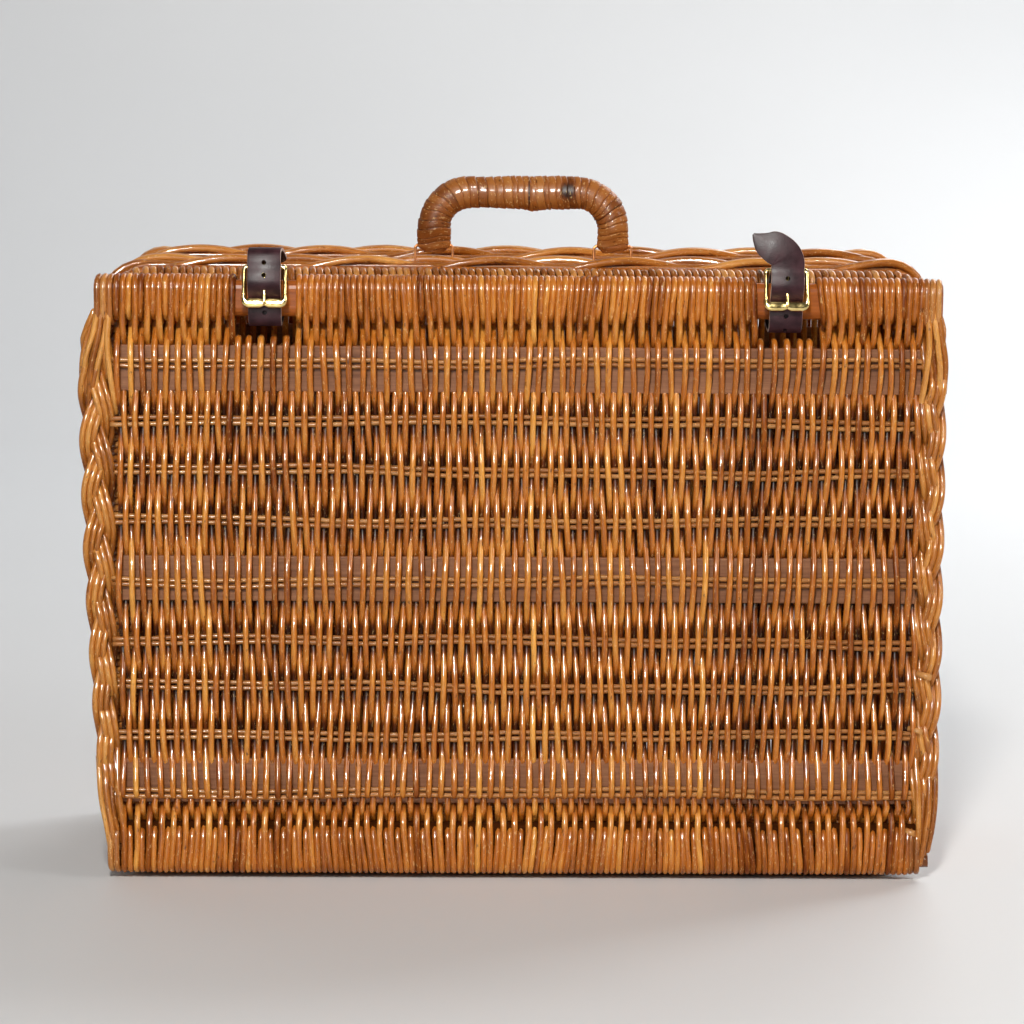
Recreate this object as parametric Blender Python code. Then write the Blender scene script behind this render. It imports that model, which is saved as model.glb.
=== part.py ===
"""A wicker picnic case that stands on its hinge side, with a strapped lid and a carrying handle.

X runs to the right, Y from the lid at the front to the base at the back, and Z up. All sizes are in metres.
"""

import math

import bmesh
import bpy
from mathutils import Matrix, Vector

for old in list(bpy.data.objects):
    bpy.data.objects.remove(old, do_unlink=True)

# Pieces that touch are drawn this far apart.
clearance = 0.0003
same_point = 0.000001

# The whole case. Depth runs from the front face of the lid to the back of the base.
case_width = 0.516
case_height = 0.385
case_depth = 0.178
buckle_reach = 0.0092
corner_radius = 0.030
corner_steps = 6

# The lid is a woven panel with a wrapped roll along its top and bottom and a plait down each side.
lid_bottom = 0.003
lid_top_drop = 0.010
roll_depth = 0.017
roll_height = 0.036
wrap_wall = 0.0032
plait_width = 0.018
plait_inside = 0.0135
plait_depth = 0.015
plait_fillet = 0.006
top_roll_set_in = 0.002
bottom_roll_set_in = 0.008
left_plait_shares = (
    (0.00, 0.68),
    (0.07, 0.76),
    (0.27, 0.98),
    (0.54, 1.18),
    (0.87, 1.26),
    (1.00, 1.20),
)
right_plait_shares = (
    (0.00, 0.90),
    (0.07, 0.98),
    (0.27, 0.98),
    (0.54, 0.90),
    (0.87, 0.85),
    (1.00, 0.79),
)
# The panel is thick where its rods pass the stakes and thin between, and thicker still at the slats.
lid_row_shares = (0.051, 0.173, 0.273, 0.368, 0.496, 0.618, 0.722, 0.824, 0.945)
lid_row_slats = ("bottom", "", "", "", "middle", "", "", "", "top")
crest_half_height = 0.0055
shoulder_half_height = 0.0155
plain_crests = (-0.0066, 0.0043)
slat_crests = (-0.0086, 0.0062)
slat_shoulders = (-0.0048, 0.0038)
valleys = (-0.0036, 0.0012)
bare_rail_height = 0.0255
back_rail_rise = 0.0175
slat_height = 0.028
slat_depth = 0.0046
lid_slat_shares = {"top": 0.975, "middle": 0.499, "bottom": 0.032}
slat_fillet = 0.001
strap_gap = 0.040
slot_width = 0.033
slot_drop = 0.0385

# Hinge: cane loops hold the lid's hinge rod to the hoop inside the rim of the body.
hinge_rod_radius = 0.005
hinge_share = 0.31
hinge_notch = 0.0066
loop_radius = 0.0015

# The body: a rim roll, a rim plait, the woven walls and a plait round the base.
rim_roll_inset = 0.0065
rim_roll_height = 0.017
rim_roll_depth = 0.0194
rim_roll_fillet = 0.006
body_plait_height = 0.0155
body_plait_depth = 0.0277
body_plait_fillet = 0.005
wall_inset = 0.0085
wall_thickness = 0.009
wall_post_pitch = 0.030
wall_ridge_shares = (0.0, 0.24, 0.76)
wall_half_shares = (0.42, 1.0, 1.0)
base_weave_depth = 0.0148
base_setback = 0.0012
base_slat_shares = {"bottom": 0.113, "middle": 0.5, "top": 0.887}
rows_between_slats = 4

# The handle stands on wire staples in the top of the rim plait.
handle_x = 0.0025
handle_half_span = 0.0553
handle_rise = 0.049
handle_radius = 0.0103
handle_bend = 0.022
handle_bend_steps = 6
leg_below_pivot = 0.0043
leg_turning_radius = 0.0056
leg_depth_shares = (0.36, 0.50, 0.66, 0.80)
leg_rise_shares = (-1.0, 0.0, 0.9)
wrap_share = 0.68
core_share = 0.62
wire_radius = 0.0009
wire_bend = 0.0012
wire_drop = 0.013
wire_hole_drop = 0.0145

# Straps, buckles and the leather loops that hold the buckles to the bare rail of the lid.
strap_shares = {"left": -0.2981, "right": 0.3107}
strap_width = 0.020
strap_thickness = 0.0026
strap_fillet = 0.0004
strap_hole_radius = 0.0016
strap_hole_pitch = 0.0082
prong_slot_radius = 0.0021
chape_width = 0.018
chape_thickness = 0.0018
chape_slot_width = 0.0048
chape_slot_rise = -0.009
chape_slot_back = 0.010
heel_depth = 0.001
heel_rise = 0.0045
heel_radius = 0.0016
front_bar_depth = -0.0052
front_bar_rise = -0.0165
buckle_half_width = 0.0122
front_bar_half_height = 0.003
front_bar_half_depth = 0.0015
side_half_width = 0.0009
side_half_depth = 0.0018
prong_radius = 0.0011
prong_start = (-0.0012, 0.0027)
prong_rest = (-0.0081, -0.0150)
prong_tip = (-0.0081, -0.0178)
prong_ring_wall = 0.0011
prong_ring_half_width = 0.0018
tip_share = 0.55
# Depth behind the lid's front face and height above the lid's top: from the rivet forward, through the
# slot, where the right strap hangs lower, and up behind the buckle's front bar.
strap_back = (
    (0.0920, -0.0091),
    (0.0720, -0.0091),
    (0.0620, -0.0108),
    (0.0400, -0.0200),
)
strap_dips = {
    "left": (
        (0.0200, -0.0277),
        (0.0120, -0.0297),
        (0.0065, -0.0300),
        (0.0028, -0.0296),
        (0.0000, -0.0272),
        (-0.0010, -0.0236),
    ),
    "right": (
        (0.0200, -0.0296),
        (0.0120, -0.0320),
        (0.0065, -0.0323),
        (0.0030, -0.0310),
        (0.0004, -0.0282),
        (-0.0009, -0.0240),
    ),
}
strap_front = (
    (-0.0017, -0.0165),
    (-0.0023, -0.0132),
    (-0.0058, -0.0082),
    (-0.0077, -0.0046),
    (-0.0072, 0.0002),
    (-0.0058, 0.0050),
)
# The free end: sideways shift, depth, height above the lid, tilt in degrees and share of the width.
strap_tails = {
    "left": (
        (0.0000, -0.0052, 0.0095, 0, 1.0),
        (0.0000, -0.0034, 0.0133, 0, 1.0),
        (0.0004, 0.0006, 0.0152, 0, 1.0),
        (0.0010, 0.0066, 0.0147, 0, 1.0),
        (0.0018, 0.0133, 0.0116, 0, 1.0),
        (0.0026, 0.0193, 0.0083, 0, 0.95),
        (0.0030, 0.0233, 0.0061, 0, 0.45),
    ),
    "right": (
        (-0.0010, -0.0060, 0.0090, 8, 1.0),
        (-0.0038, -0.0061, 0.0134, 24, 1.0),
        (-0.0086, -0.0057, 0.0172, 42, 1.0),
        (-0.0138, -0.0047, 0.0200, 54, 1.0),
        (-0.0187, -0.0035, 0.0221, 62, 0.92),
    ),
}
prong_point = 12
extra_holes = {"left": (-2, -1, 1, 2), "right": (-3, -2, -1, 1)}
rivet_depth = 0.084
rivet_shank_radius = 0.0016
rivet_head_radius = 0.0045
rivet_head_height = 0.0012
rivet_head_share = 0.7

round_steps = 12
fine_steps = 8
fillet_steps = 2
roll_steps = 4
cutter_reach = 0.030
sharp_angle = math.radians(40)

across_case = Vector((1, 0, 0))
into_case = Vector((0, 1, 0))

# The middle of the depth, buckles included, lies on the origin.
front_y = -(case_depth - buckle_reach) / 2

materials = {
    "cane": ((0.50, 0.21, 0.055), 0.38, 0.0),
    "cane_dark": ((0.36, 0.14, 0.045), 0.42, 0.0),
    "cane_plait": ((0.52, 0.20, 0.045), 0.36, 0.0),
    "cane_wrap": ((0.47, 0.22, 0.085), 0.38, 0.0),
    "slat": ((0.33, 0.15, 0.085), 0.55, 0.0),
    "handle_cane": ((0.50, 0.19, 0.040), 0.34, 0.0),
    "handle_core": ((0.34, 0.17, 0.070), 0.60, 0.0),
    "leather": ((0.060, 0.026, 0.028), 0.45, 0.0),
    "brass": ((0.56, 0.42, 0.16), 0.24, 1.0),
    "staple_wire": ((0.30, 0.12, 0.050), 0.40, 1.0),
}
made_materials = {}


def material(name):
    """One Principled material for each surface."""
    if name not in made_materials:
        colour, roughness, metallic = materials[name]
        made = bpy.data.materials.new(name)
        made.use_nodes = True
        shader = made.node_tree.nodes["Principled BSDF"]
        shader.inputs["Base Color"].default_value = (*colour, 1)
        shader.inputs["Roughness"].default_value = roughness
        shader.inputs["Metallic"].default_value = metallic
        made.diffuse_color = (*colour, 1)
        made_materials[name] = made
    return made_materials[name]


def at(x, depth, height):
    """A point from its distance behind the lid's front face."""
    return Vector((x, front_y + depth, height))


def circle(radius, steps=round_steps):
    turns = [2 * math.pi * k / steps for k in range(steps)]
    return [(radius * math.cos(a), radius * math.sin(a)) for a in turns]


def rounded(half_u, half_v, fillet, steps=fillet_steps, shift=0):
    """A rectangle with rounded corners, its middle moved sideways by shift."""
    corners = []
    for quarter, (su, sv) in enumerate(((1, 1), (-1, 1), (-1, -1), (1, -1))):
        for k in range(steps + 1):
            a = math.pi / 2 * (quarter + k / steps)
            u = su * (half_u - fillet) + fillet * math.cos(a)
            v = sv * (half_v - fillet) + fillet * math.sin(a)
            corners.append((shift + u, v))
    # A side with no straight part has its two end points in one place, so one of them is dropped.
    return [p for k, p in enumerate(corners) if math.dist(p, corners[k - 1]) > same_point]


def per_point(value, count):
    """One list for each point of a path, from a single one or from a list of them."""
    return value if isinstance(value[0], list) else [value] * count


def sideways(path, across, closed):
    """The direction beside the path at each point, longer at a bend so that the width is kept."""
    found = []
    for i, point in enumerate(path):
        ways = []
        if closed or i:
            ways.append((point - path[i - 1]).normalized())
        if closed or i + 1 < len(path):
            ways.append((path[(i + 1) % len(path)] - point).normalized())
        tangent = sum(ways, Vector()).normalized()
        side = across[i].cross(tangent).normalized()
        found.append(side / tangent.dot(ways[0]))
    return found


def finish(name, mesh, surface, parent, cutter=False):
    """Turns a mesh into an object, which hangs from its joint's empty if it has one."""
    bmesh.ops.recalc_face_normals(mesh, faces=mesh.faces)
    data = bpy.data.meshes.new(name)
    mesh.to_mesh(data)
    mesh.free()
    for face in data.polygons:
        face.use_smooth = True
    data.set_sharp_from_angle(angle=sharp_angle)
    made = bpy.data.objects.new(name, data)
    bpy.context.scene.collection.objects.link(made)
    if cutter:
        made.hide_render = True
        made.display_type = "WIRE"
    else:
        data.materials.append(material(surface))
    if parent:
        made.parent = parent
        made.matrix_parent_inverse = Matrix.Translation(-joint_places[parent.name])
    return made


def swept(name, path, across, section, surface=None, closed=False, hole=None, parent=None):
    """Draws a section along a path. A hole runs the whole way through an open one."""
    across = across if isinstance(across, list) else [across] * len(path)
    sides = sideways(path, across, closed)
    mesh = bmesh.new()
    skins = []
    for shape in filter(None, (section, hole)):
        rings = []
        for i, ring in enumerate(per_point(shape, len(path))):
            points = [path[i] + sides[i] * u + across[i] * v for u, v in ring]
            rings.append([mesh.verts.new(p) for p in points])
        skins.append(rings)
        following = rings[1:] + rings[:1] if closed else rings[1:]
        for a, b in zip(rings, following):
            for k in range(len(a)):
                m = (k + 1) % len(a)
                mesh.faces.new((a[k], a[m], b[m], b[k]))
    for end in () if closed else (0, -1):
        outer = skins[0][end]
        if hole:
            inner = skins[1][end]
            for k in range(len(outer)):
                m = (k + 1) % len(outer)
                mesh.faces.new((outer[k], outer[m], inner[m], inner[k]))
        else:
            mesh.faces.new(outer)
    return finish(name, mesh, surface, parent, cutter=surface is None)


def turned(name, foot, axis, profile, surface, steps=round_steps):
    """A round solid from pairs of radius and distance along its axis."""
    beside = axis.orthogonal().normalized()
    other = axis.cross(beside)
    mesh = bmesh.new()
    rings = []
    for radius, along in profile:
        points = [foot + axis * along + beside * u + other * v for u, v in circle(radius, steps)]
        rings.append([mesh.verts.new(p) for p in points])
    for a, b in zip(rings, rings[1:]):
        for k in range(steps):
            m = (k + 1) % steps
            mesh.faces.new((a[k], a[m], b[m], b[k]))
    mesh.faces.new(rings[0])
    mesh.faces.new(rings[-1])
    return finish(name, mesh, surface, None)


def combine(body, tool, operation):
    """Cuts a hidden tool out of a body or joins it on."""
    step = body.modifiers.new(tool.name, "BOOLEAN")
    step.operation = operation
    step.solver = "EXACT"
    step.object = tool


def rod_cutter(name, start, end, radius, across, steps=round_steps):
    return swept(name, [start, end], across, circle(radius, steps))


def block_cutter(name, low, high):
    """A box between two corners."""
    middle = (low + high) / 2
    half = (high - low) / 2
    ends = [middle - across_case * half.x, middle + across_case * half.x]
    return swept(name, ends, into_case, rounded_box(half.z, half.y))


def rounded_box(half_u, half_v):
    """A plain rectangle."""
    return [(half_u, half_v), (-half_u, half_v), (-half_u, -half_v), (half_u, -half_v)]


def ridged(rows, slats, low, high, middle):
    """A panel's upright section, thick at each row of stakes and thin between them."""
    faces = []
    for face in (0, 1):
        line = [(low, valleys[face])]
        for row, slat in zip(rows, slats):
            crest = slat_crests[face] if slat else plain_crests[face]
            steps = [(row - crest_half_height, crest), (row + crest_half_height, crest)]
            if slat:
                shoulder = slat_shoulders[face]
                steps.insert(0, (slat - shoulder_half_height, shoulder))
                steps.append((slat + shoulder_half_height, shoulder))
            if row != rows[0]:
                line.append(((line[-1][0] + steps[0][0]) / 2, valleys[face]))
            line += steps
        line.append((high, valleys[face]))
        faces.append([(z - middle, depth) for z, depth in line])
    return faces[0] + faces[1][::-1]


def case_outline(inset, radius, depth):
    """A rounded rectangle in the plane of the lid, from the bottom right corner round to the left."""
    half = case_width / 2 - inset
    low = inset
    high = case_height - inset
    centres = (
        (half - radius, low + radius),
        (half - radius, high - radius),
        (radius - half, high - radius),
        (radius - half, low + radius),
    )
    points = []
    for quarter, (x, z) in enumerate(centres):
        for k in range(corner_steps + 1):
            a = math.pi / 2 * (quarter - 1 + k / corner_steps)
            points.append(at(x + radius * math.cos(a), depth, z + radius * math.sin(a)))
    return points


def case_ring(name, inset, height, start_depth, depth, fillet, surface):
    """A closed band round the case, its outer face set in from the overall size."""
    middle = inset + height / 2
    path = case_outline(middle, corner_radius - middle, start_depth + depth / 2)
    return swept(name, path, into_case, rounded(height / 2, depth / 2, fillet), surface, True)


def straight(name, left, right, depth, height, section, surface, parent=None, hole=None):
    """A bar from left to right."""
    path = [at(left, depth, height), at(right, depth, height)]
    return swept(name, path, into_case, section, surface, parent=parent, hole=hole)


def empty(name, place, parent=None):
    """Marks a joint's axis."""
    made = bpy.data.objects.new(name, None)
    bpy.context.scene.collection.objects.link(made)
    joint_places[name] = place
    made.location = place - joint_places[parent.name] if parent else place
    made.parent = parent
    return made


joint_places = {}

# Positions that follow from the sizes above.
lid_top = case_height - lid_top_drop
lid_rail_bottom = lid_top - bare_rail_height
slot_bottom = lid_top - slot_drop
heel_height = lid_top + heel_rise
front_bar_height = lid_top + front_bar_rise
hinge_x = hinge_share * case_width
strap_x = {side: share * case_width for side, share in strap_shares.items()}
roll_middle = roll_depth / 2
lid_hinge_height = lid_bottom + roll_middle
side_x = case_width / 2 - plait_inside - clearance
handle_depth = roll_depth + clearance + rim_roll_depth + clearance + body_plait_depth / 2
pivot_height = case_height + clearance + leg_turning_radius
lid_axis = empty("lid_hinge_axis", at(0, roll_middle, lid_hinge_height))
handle_axis = empty("handle_hinge_axis", at(handle_x, handle_depth, pivot_height))
buckle_axes = {
    side: empty(f"buckle_{side}_axis", at(x, heel_depth, heel_height), lid_axis)
    for side, x in strap_x.items()
}

# The lid's rolls. A stadium section, wrapped in cane, with the rails running through it.
wrap_hole_half = roll_middle - wrap_wall
roll_section = rounded(roll_height / 2, roll_middle, roll_middle, roll_steps)
roll_hole = rounded(roll_height / 2 - wrap_wall, wrap_hole_half, wrap_hole_half, roll_steps)
rail_half_depth = wrap_hole_half - clearance
top_roll_x = case_width / 2 - top_roll_set_in
bottom_roll_x = case_width / 2 - bottom_roll_set_in
top_roll_height = lid_top - roll_height / 2
bottom_roll_height = lid_bottom + roll_height / 2
strap_edges = [x + way * strap_gap / 2 for x in strap_x.values() for way in (-1, 1)]
top_stops = [-top_roll_x, *strap_edges, top_roll_x]
for name, left, right in zip(("left", "middle", "right"), top_stops[::2], top_stops[1::2]):
    straight(
        f"lid_top_wrap_{name}",
        left,
        right,
        roll_middle,
        top_roll_height,
        roll_section,
        "cane_wrap",
        lid_axis,
        roll_hole,
    )
notch_edges = [x + way * hinge_notch / 2 for x in (-hinge_x, 0, hinge_x) for way in (-1, 1)]
bottom_stops = [-bottom_roll_x, *notch_edges, bottom_roll_x]
bottom_names = ("left", "middle_left", "middle_right", "right")
for name, left, right in zip(bottom_names, bottom_stops[::2], bottom_stops[1::2]):
    straight(
        f"lid_bottom_wrap_{name}",
        left,
        right,
        roll_middle,
        bottom_roll_height,
        roll_section,
        "cane_wrap",
        lid_axis,
        roll_hole,
    )
lid_rail_top = lid_top - wrap_wall - clearance
straight(
    "lid_top_rail",
    -top_roll_x,
    top_roll_x,
    roll_middle,
    (lid_rail_bottom + lid_rail_top) / 2,
    rounded((lid_rail_top - lid_rail_bottom) / 2, rail_half_depth, rail_half_depth, roll_steps),
    "cane_dark",
    lid_axis,
)
back_rail_bottom = lid_bottom + back_rail_rise
back_rail_top = lid_bottom + roll_height - wrap_wall - clearance
straight(
    "lid_bottom_rail",
    -bottom_roll_x,
    bottom_roll_x,
    roll_middle,
    (back_rail_bottom + back_rail_top) / 2,
    rounded((back_rail_top - back_rail_bottom) / 2, rail_half_depth, rail_half_depth, roll_steps),
    "cane_dark",
    lid_axis,
)
straight(
    "lid_hinge_rod",
    -bottom_roll_x,
    bottom_roll_x,
    roll_middle,
    lid_hinge_height,
    circle(hinge_rod_radius),
    "cane_dark",
    lid_axis,
)

# The lid's woven panel between the rolls, with a slot for each strap and a channel for each slat.
weave_bottom = lid_bottom + roll_height + clearance
weave_top = lid_top - roll_height - clearance
weave_middle = (weave_bottom + weave_top) / 2
weave_height = weave_top - weave_bottom
slat_heights = {
    name: weave_bottom + slat_height / 2 + share * (weave_height - slat_height)
    for name, share in lid_slat_shares.items()
}
weave_rows = [weave_bottom + share * weave_height for share in lid_row_shares]
row_slats = [slat_heights.get(name) for name in lid_row_slats]
weave_section = ridged(weave_rows, row_slats, weave_bottom, weave_top, weave_middle)
lid_weave = straight(
    "lid_weave", -side_x, side_x, roll_middle, weave_middle, weave_section, "cane", lid_axis
)
channel = rounded_box(slat_height / 2 + clearance, slat_depth / 2 + clearance)
for name, height in slat_heights.items():
    straight(
        f"lid_slat_{name}",
        -side_x,
        side_x,
        roll_middle,
        height,
        rounded(slat_height / 2, slat_depth / 2, slat_fillet),
        "slat",
        lid_axis,
    )
    reach = side_x + cutter_reach
    tool = straight(f"lid_channel_{name}", -reach, reach, roll_middle, height, channel, None)
    combine(lid_weave, tool, "DIFFERENCE")
for side, x in strap_x.items():
    low = at(x - slot_width / 2, -cutter_reach, slot_bottom)
    high = at(x + slot_width / 2, cutter_reach, weave_top + cutter_reach)
    combine(lid_weave, block_cutter(f"slot_cutter_{side}", low, high), "DIFFERENCE")

# The plaits down the lid's sides. Their inner edges are straight and their outer ones bulge.
plait_edge = side_x + clearance
for side, way, shares in (("left", -1, left_plait_shares), ("right", 1, right_plait_shares)):
    path = [at(way * plait_edge, roll_middle, weave_bottom + s * weave_height) for s, _ in shares]
    halves = [share * plait_width / 2 for _, share in shares]
    section = [rounded(h, plait_depth / 2, plait_fillet, shift=way * h) for h in halves]
    swept(f"lid_plait_{side}", path, into_case, section, "cane_plait", parent=lid_axis)

# The body, from the rim back to the base. Each band starts where the one before it ends.
rim_start = roll_depth + clearance
rim_middle_inset = rim_roll_inset + rim_roll_height / 2
rim_middle_depth = rim_start + rim_roll_depth / 2
rim_path = case_outline(rim_middle_inset, corner_radius - rim_middle_inset, rim_middle_depth)
swept("rim_hoop", rim_path, into_case, circle(hinge_rod_radius), "cane_dark", True)
rim_section = rounded(rim_roll_height / 2, rim_roll_depth / 2, rim_roll_fillet)
rim_hole = circle(hinge_rod_radius + clearance, len(rim_section))
hole_turn = math.pi / len(rim_section)
rim_hole = [
    (
        u * math.cos(hole_turn) - v * math.sin(hole_turn),
        u * math.sin(hole_turn) + v * math.cos(hole_turn),
    )
    for u, v in rim_hole
]
rim_start_x = hinge_x + hinge_notch / 2
rim_low = rim_middle_inset
long_way = [at(rim_start_x, rim_middle_depth, rim_low), *rim_path]
long_way.append(at(-rim_start_x, rim_middle_depth, rim_low))
swept("rim_wrap", long_way, into_case, rim_section, "cane_wrap", hole=rim_hole)
for side, way in (("left", -1), ("right", 1)):
    near = way * hinge_notch / 2
    far = way * (hinge_x - hinge_notch / 2)
    straight(
        f"rim_wrap_bottom_{side}",
        near,
        far,
        rim_middle_depth,
        rim_low,
        rim_section,
        "cane_wrap",
        hole=rim_hole,
    )
plait_start = rim_start + rim_roll_depth + clearance
wall_start = plait_start + body_plait_depth + clearance
base_plait_start = case_depth - body_plait_depth
wall_depth = base_plait_start - clearance - wall_start
rim_plait = case_ring(
    "rim_plait",
    0,
    body_plait_height,
    plait_start,
    body_plait_depth,
    body_plait_fillet,
    "cane_plait",
)
wall_middle = wall_inset + wall_thickness / 2
wall_corner = corner_radius - wall_middle
wall_line = case_outline(wall_middle, wall_corner, wall_start + wall_depth / 2)
wall_path, wall_halves = [], []
for a, b in zip(wall_line, wall_line[1:] + wall_line[:1]):
    posts = max(1, round((b - a).length / wall_post_pitch))
    for k in range(posts):
        for step, share in zip(wall_ridge_shares, wall_half_shares):
            wall_path.append(a + (b - a) * ((k + step) / posts))
            wall_halves.append(wall_thickness / 2 * (share if posts > 1 else 1))
        if posts == 1:
            del wall_path[-2:], wall_halves[-2:]
wall_sections = [rounded_box(half, wall_depth / 2) for half in wall_halves]
body_walls = swept("body_walls", wall_path, into_case, wall_sections, "cane", True)
case_ring(
    "base_plait",
    0,
    body_plait_height,
    base_plait_start,
    body_plait_depth,
    body_plait_fillet,
    "cane_plait",
)

# The base panel fills the ring of the base plait. It's a ridged bar cut to the ring's outline.
base_inset = body_plait_height + clearance
base_middle_depth = case_depth - base_setback - base_weave_depth / 2
base_half = case_width / 2 - base_inset
base_top = case_height - base_inset
base_height = base_top - base_inset
base_slat_heights = [
    base_inset + slat_height / 2 + share * (base_height - slat_height)
    for share in base_slat_shares.values()
]
base_rows, base_row_slats = [], []
for start, end in zip(base_slat_heights, base_slat_heights[1:]):
    for k in range(rows_between_slats):
        base_rows.append(start + (end - start) * k / rows_between_slats)
        base_row_slats.append(None if k else start)
base_rows.append(base_slat_heights[-1])
base_row_slats.append(base_slat_heights[-1])
base_middle = (base_top + base_inset) / 2
base_section = ridged(base_rows, base_row_slats, base_inset, base_top, base_middle)
base_weave = straight(
    "base_weave",
    -base_half,
    base_half,
    base_middle_depth,
    base_middle,
    [(u, -v) for u, v in base_section][::-1],
    "cane",
)
base_outline = case_outline(base_inset, corner_radius - base_inset, base_middle_depth)
outline_mesh = bmesh.new()
outline_skins = []
for way in (-1, 1):
    offset = into_case * (way * cutter_reach)
    outline_skins.append([outline_mesh.verts.new(p + offset) for p in base_outline])
    outline_mesh.faces.new(outline_skins[-1])
for k in range(len(base_outline)):
    m = (k + 1) % len(base_outline)
    outline_mesh.faces.new(
        (outline_skins[0][k], outline_skins[0][m], outline_skins[1][m], outline_skins[1][k])
    )
combine(base_weave, finish("base_outline", outline_mesh, None, None, cutter=True), "INTERSECT")
for name, height in zip(base_slat_shares, base_slat_heights):
    straight(
        f"base_slat_{name}",
        -base_half,
        base_half,
        base_middle_depth,
        height,
        rounded(slat_height / 2, slat_depth / 2, slat_fillet),
        "slat",
    )
    reach = base_half + cutter_reach
    tool = straight(f"base_channel_{name}", -reach, reach, base_middle_depth, height, channel, None)
    combine(base_weave, tool, "DIFFERENCE")

# Hinge loops: each goes round the lid's hinge rod and the hoop in the rim.
rod_place = Vector((roll_middle, lid_hinge_height))
hoop_place = Vector((rim_middle_depth, rim_low))
along = (hoop_place - rod_place).normalized()
turn_start = math.atan2(along.y, along.x)
loop_reach = hinge_rod_radius + clearance + loop_radius
loop_points = []
for centre, start in ((hoop_place, turn_start - math.pi / 2), (rod_place, turn_start + math.pi / 2)):
    for k in range(fine_steps + 1):
        a = start + math.pi * k / fine_steps
        loop_points.append(centre + loop_reach * Vector((math.cos(a), math.sin(a))))
for name, x in (("left", -hinge_x), ("middle", 0), ("right", hinge_x)):
    path = [at(x, p.x, p.y) for p in loop_points]
    swept(f"hinge_loop_{name}", path, across_case, circle(loop_radius, fine_steps), "cane_dark", True)

# The handle: a bent core in a cane wrapping. Its legs thin from front to back where they turn.
bend_height = case_height + handle_rise - handle_radius - handle_bend
left_leg = [
    (-handle_half_span, pivot_height + share * leg_below_pivot) for share in leg_rise_shares
]
left_bend = []
for k in range(handle_bend_steps + 1):
    a = math.pi - math.pi / 2 * k / handle_bend_steps
    x = handle_bend - handle_half_span + handle_bend * math.cos(a)
    left_bend.append((x, bend_height + handle_bend * math.sin(a)))
left_half = left_leg + left_bend
handle_points = left_half + [(-x, z) for x, z in reversed(left_half)]
handle_path = [at(handle_x + x, handle_depth, z) for x, z in handle_points]
thin = list(leg_depth_shares) + [1] * (len(left_half) - len(leg_depth_shares))
depth_shares = thin + thin[::-1]


def handle_rings(share):
    """The handle's oval sections, made smaller by a share."""
    return [
        [(share * u, share * d * v) for u, v in circle(handle_radius)]
        for d in depth_shares
    ]


handle_wrap = swept(
    "handle_wrap",
    handle_path,
    into_case,
    handle_rings(1),
    "handle_cane",
    hole=handle_rings(wrap_share),
    parent=handle_axis,
)
handle_core = swept(
    "handle_core",
    handle_path,
    into_case,
    handle_rings(core_share),
    "handle_core",
    parent=handle_axis,
)
wire_span = handle_radius + clearance + wire_radius
wire_bottom = case_height - wire_drop
wire_hole_bottom = case_height - wire_hole_drop
for side, way in (("left", -1), ("right", 1)):
    leg_x = handle_x + way * handle_half_span
    corner_drop = pivot_height - wire_bend
    corner_in = wire_span - wire_bend
    staple = [
        at(leg_x - wire_span, handle_depth, wire_bottom),
        at(leg_x - wire_span, handle_depth, corner_drop),
        at(leg_x - corner_in, handle_depth, pivot_height),
        at(leg_x + corner_in, handle_depth, pivot_height),
        at(leg_x + wire_span, handle_depth, corner_drop),
        at(leg_x + wire_span, handle_depth, wire_bottom),
    ]
    wire = circle(wire_radius, fine_steps)
    swept(f"handle_wire_{side}", staple, into_case, wire, "staple_wire")
    leg_start = at(leg_x - cutter_reach / 2, handle_depth, pivot_height)
    leg_end = at(leg_x + cutter_reach / 2, handle_depth, pivot_height)
    bore = wire_radius + clearance
    tool = rod_cutter(f"pivot_cutter_{side}", leg_start, leg_end, bore, into_case)
    combine(handle_wrap, tool, "DIFFERENCE")
    combine(handle_core, tool, "DIFFERENCE")
    for end, across in (("outer", way), ("inner", -way)):
        x = leg_x + across * wire_span
        foot = at(x, handle_depth, wire_hole_bottom)
        head = at(x, handle_depth, case_height + cutter_reach)
        tool = rod_cutter(f"staple_cutter_{side}_{end}", foot, head, bore, into_case)
        combine(rim_plait, tool, "DIFFERENCE")

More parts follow.
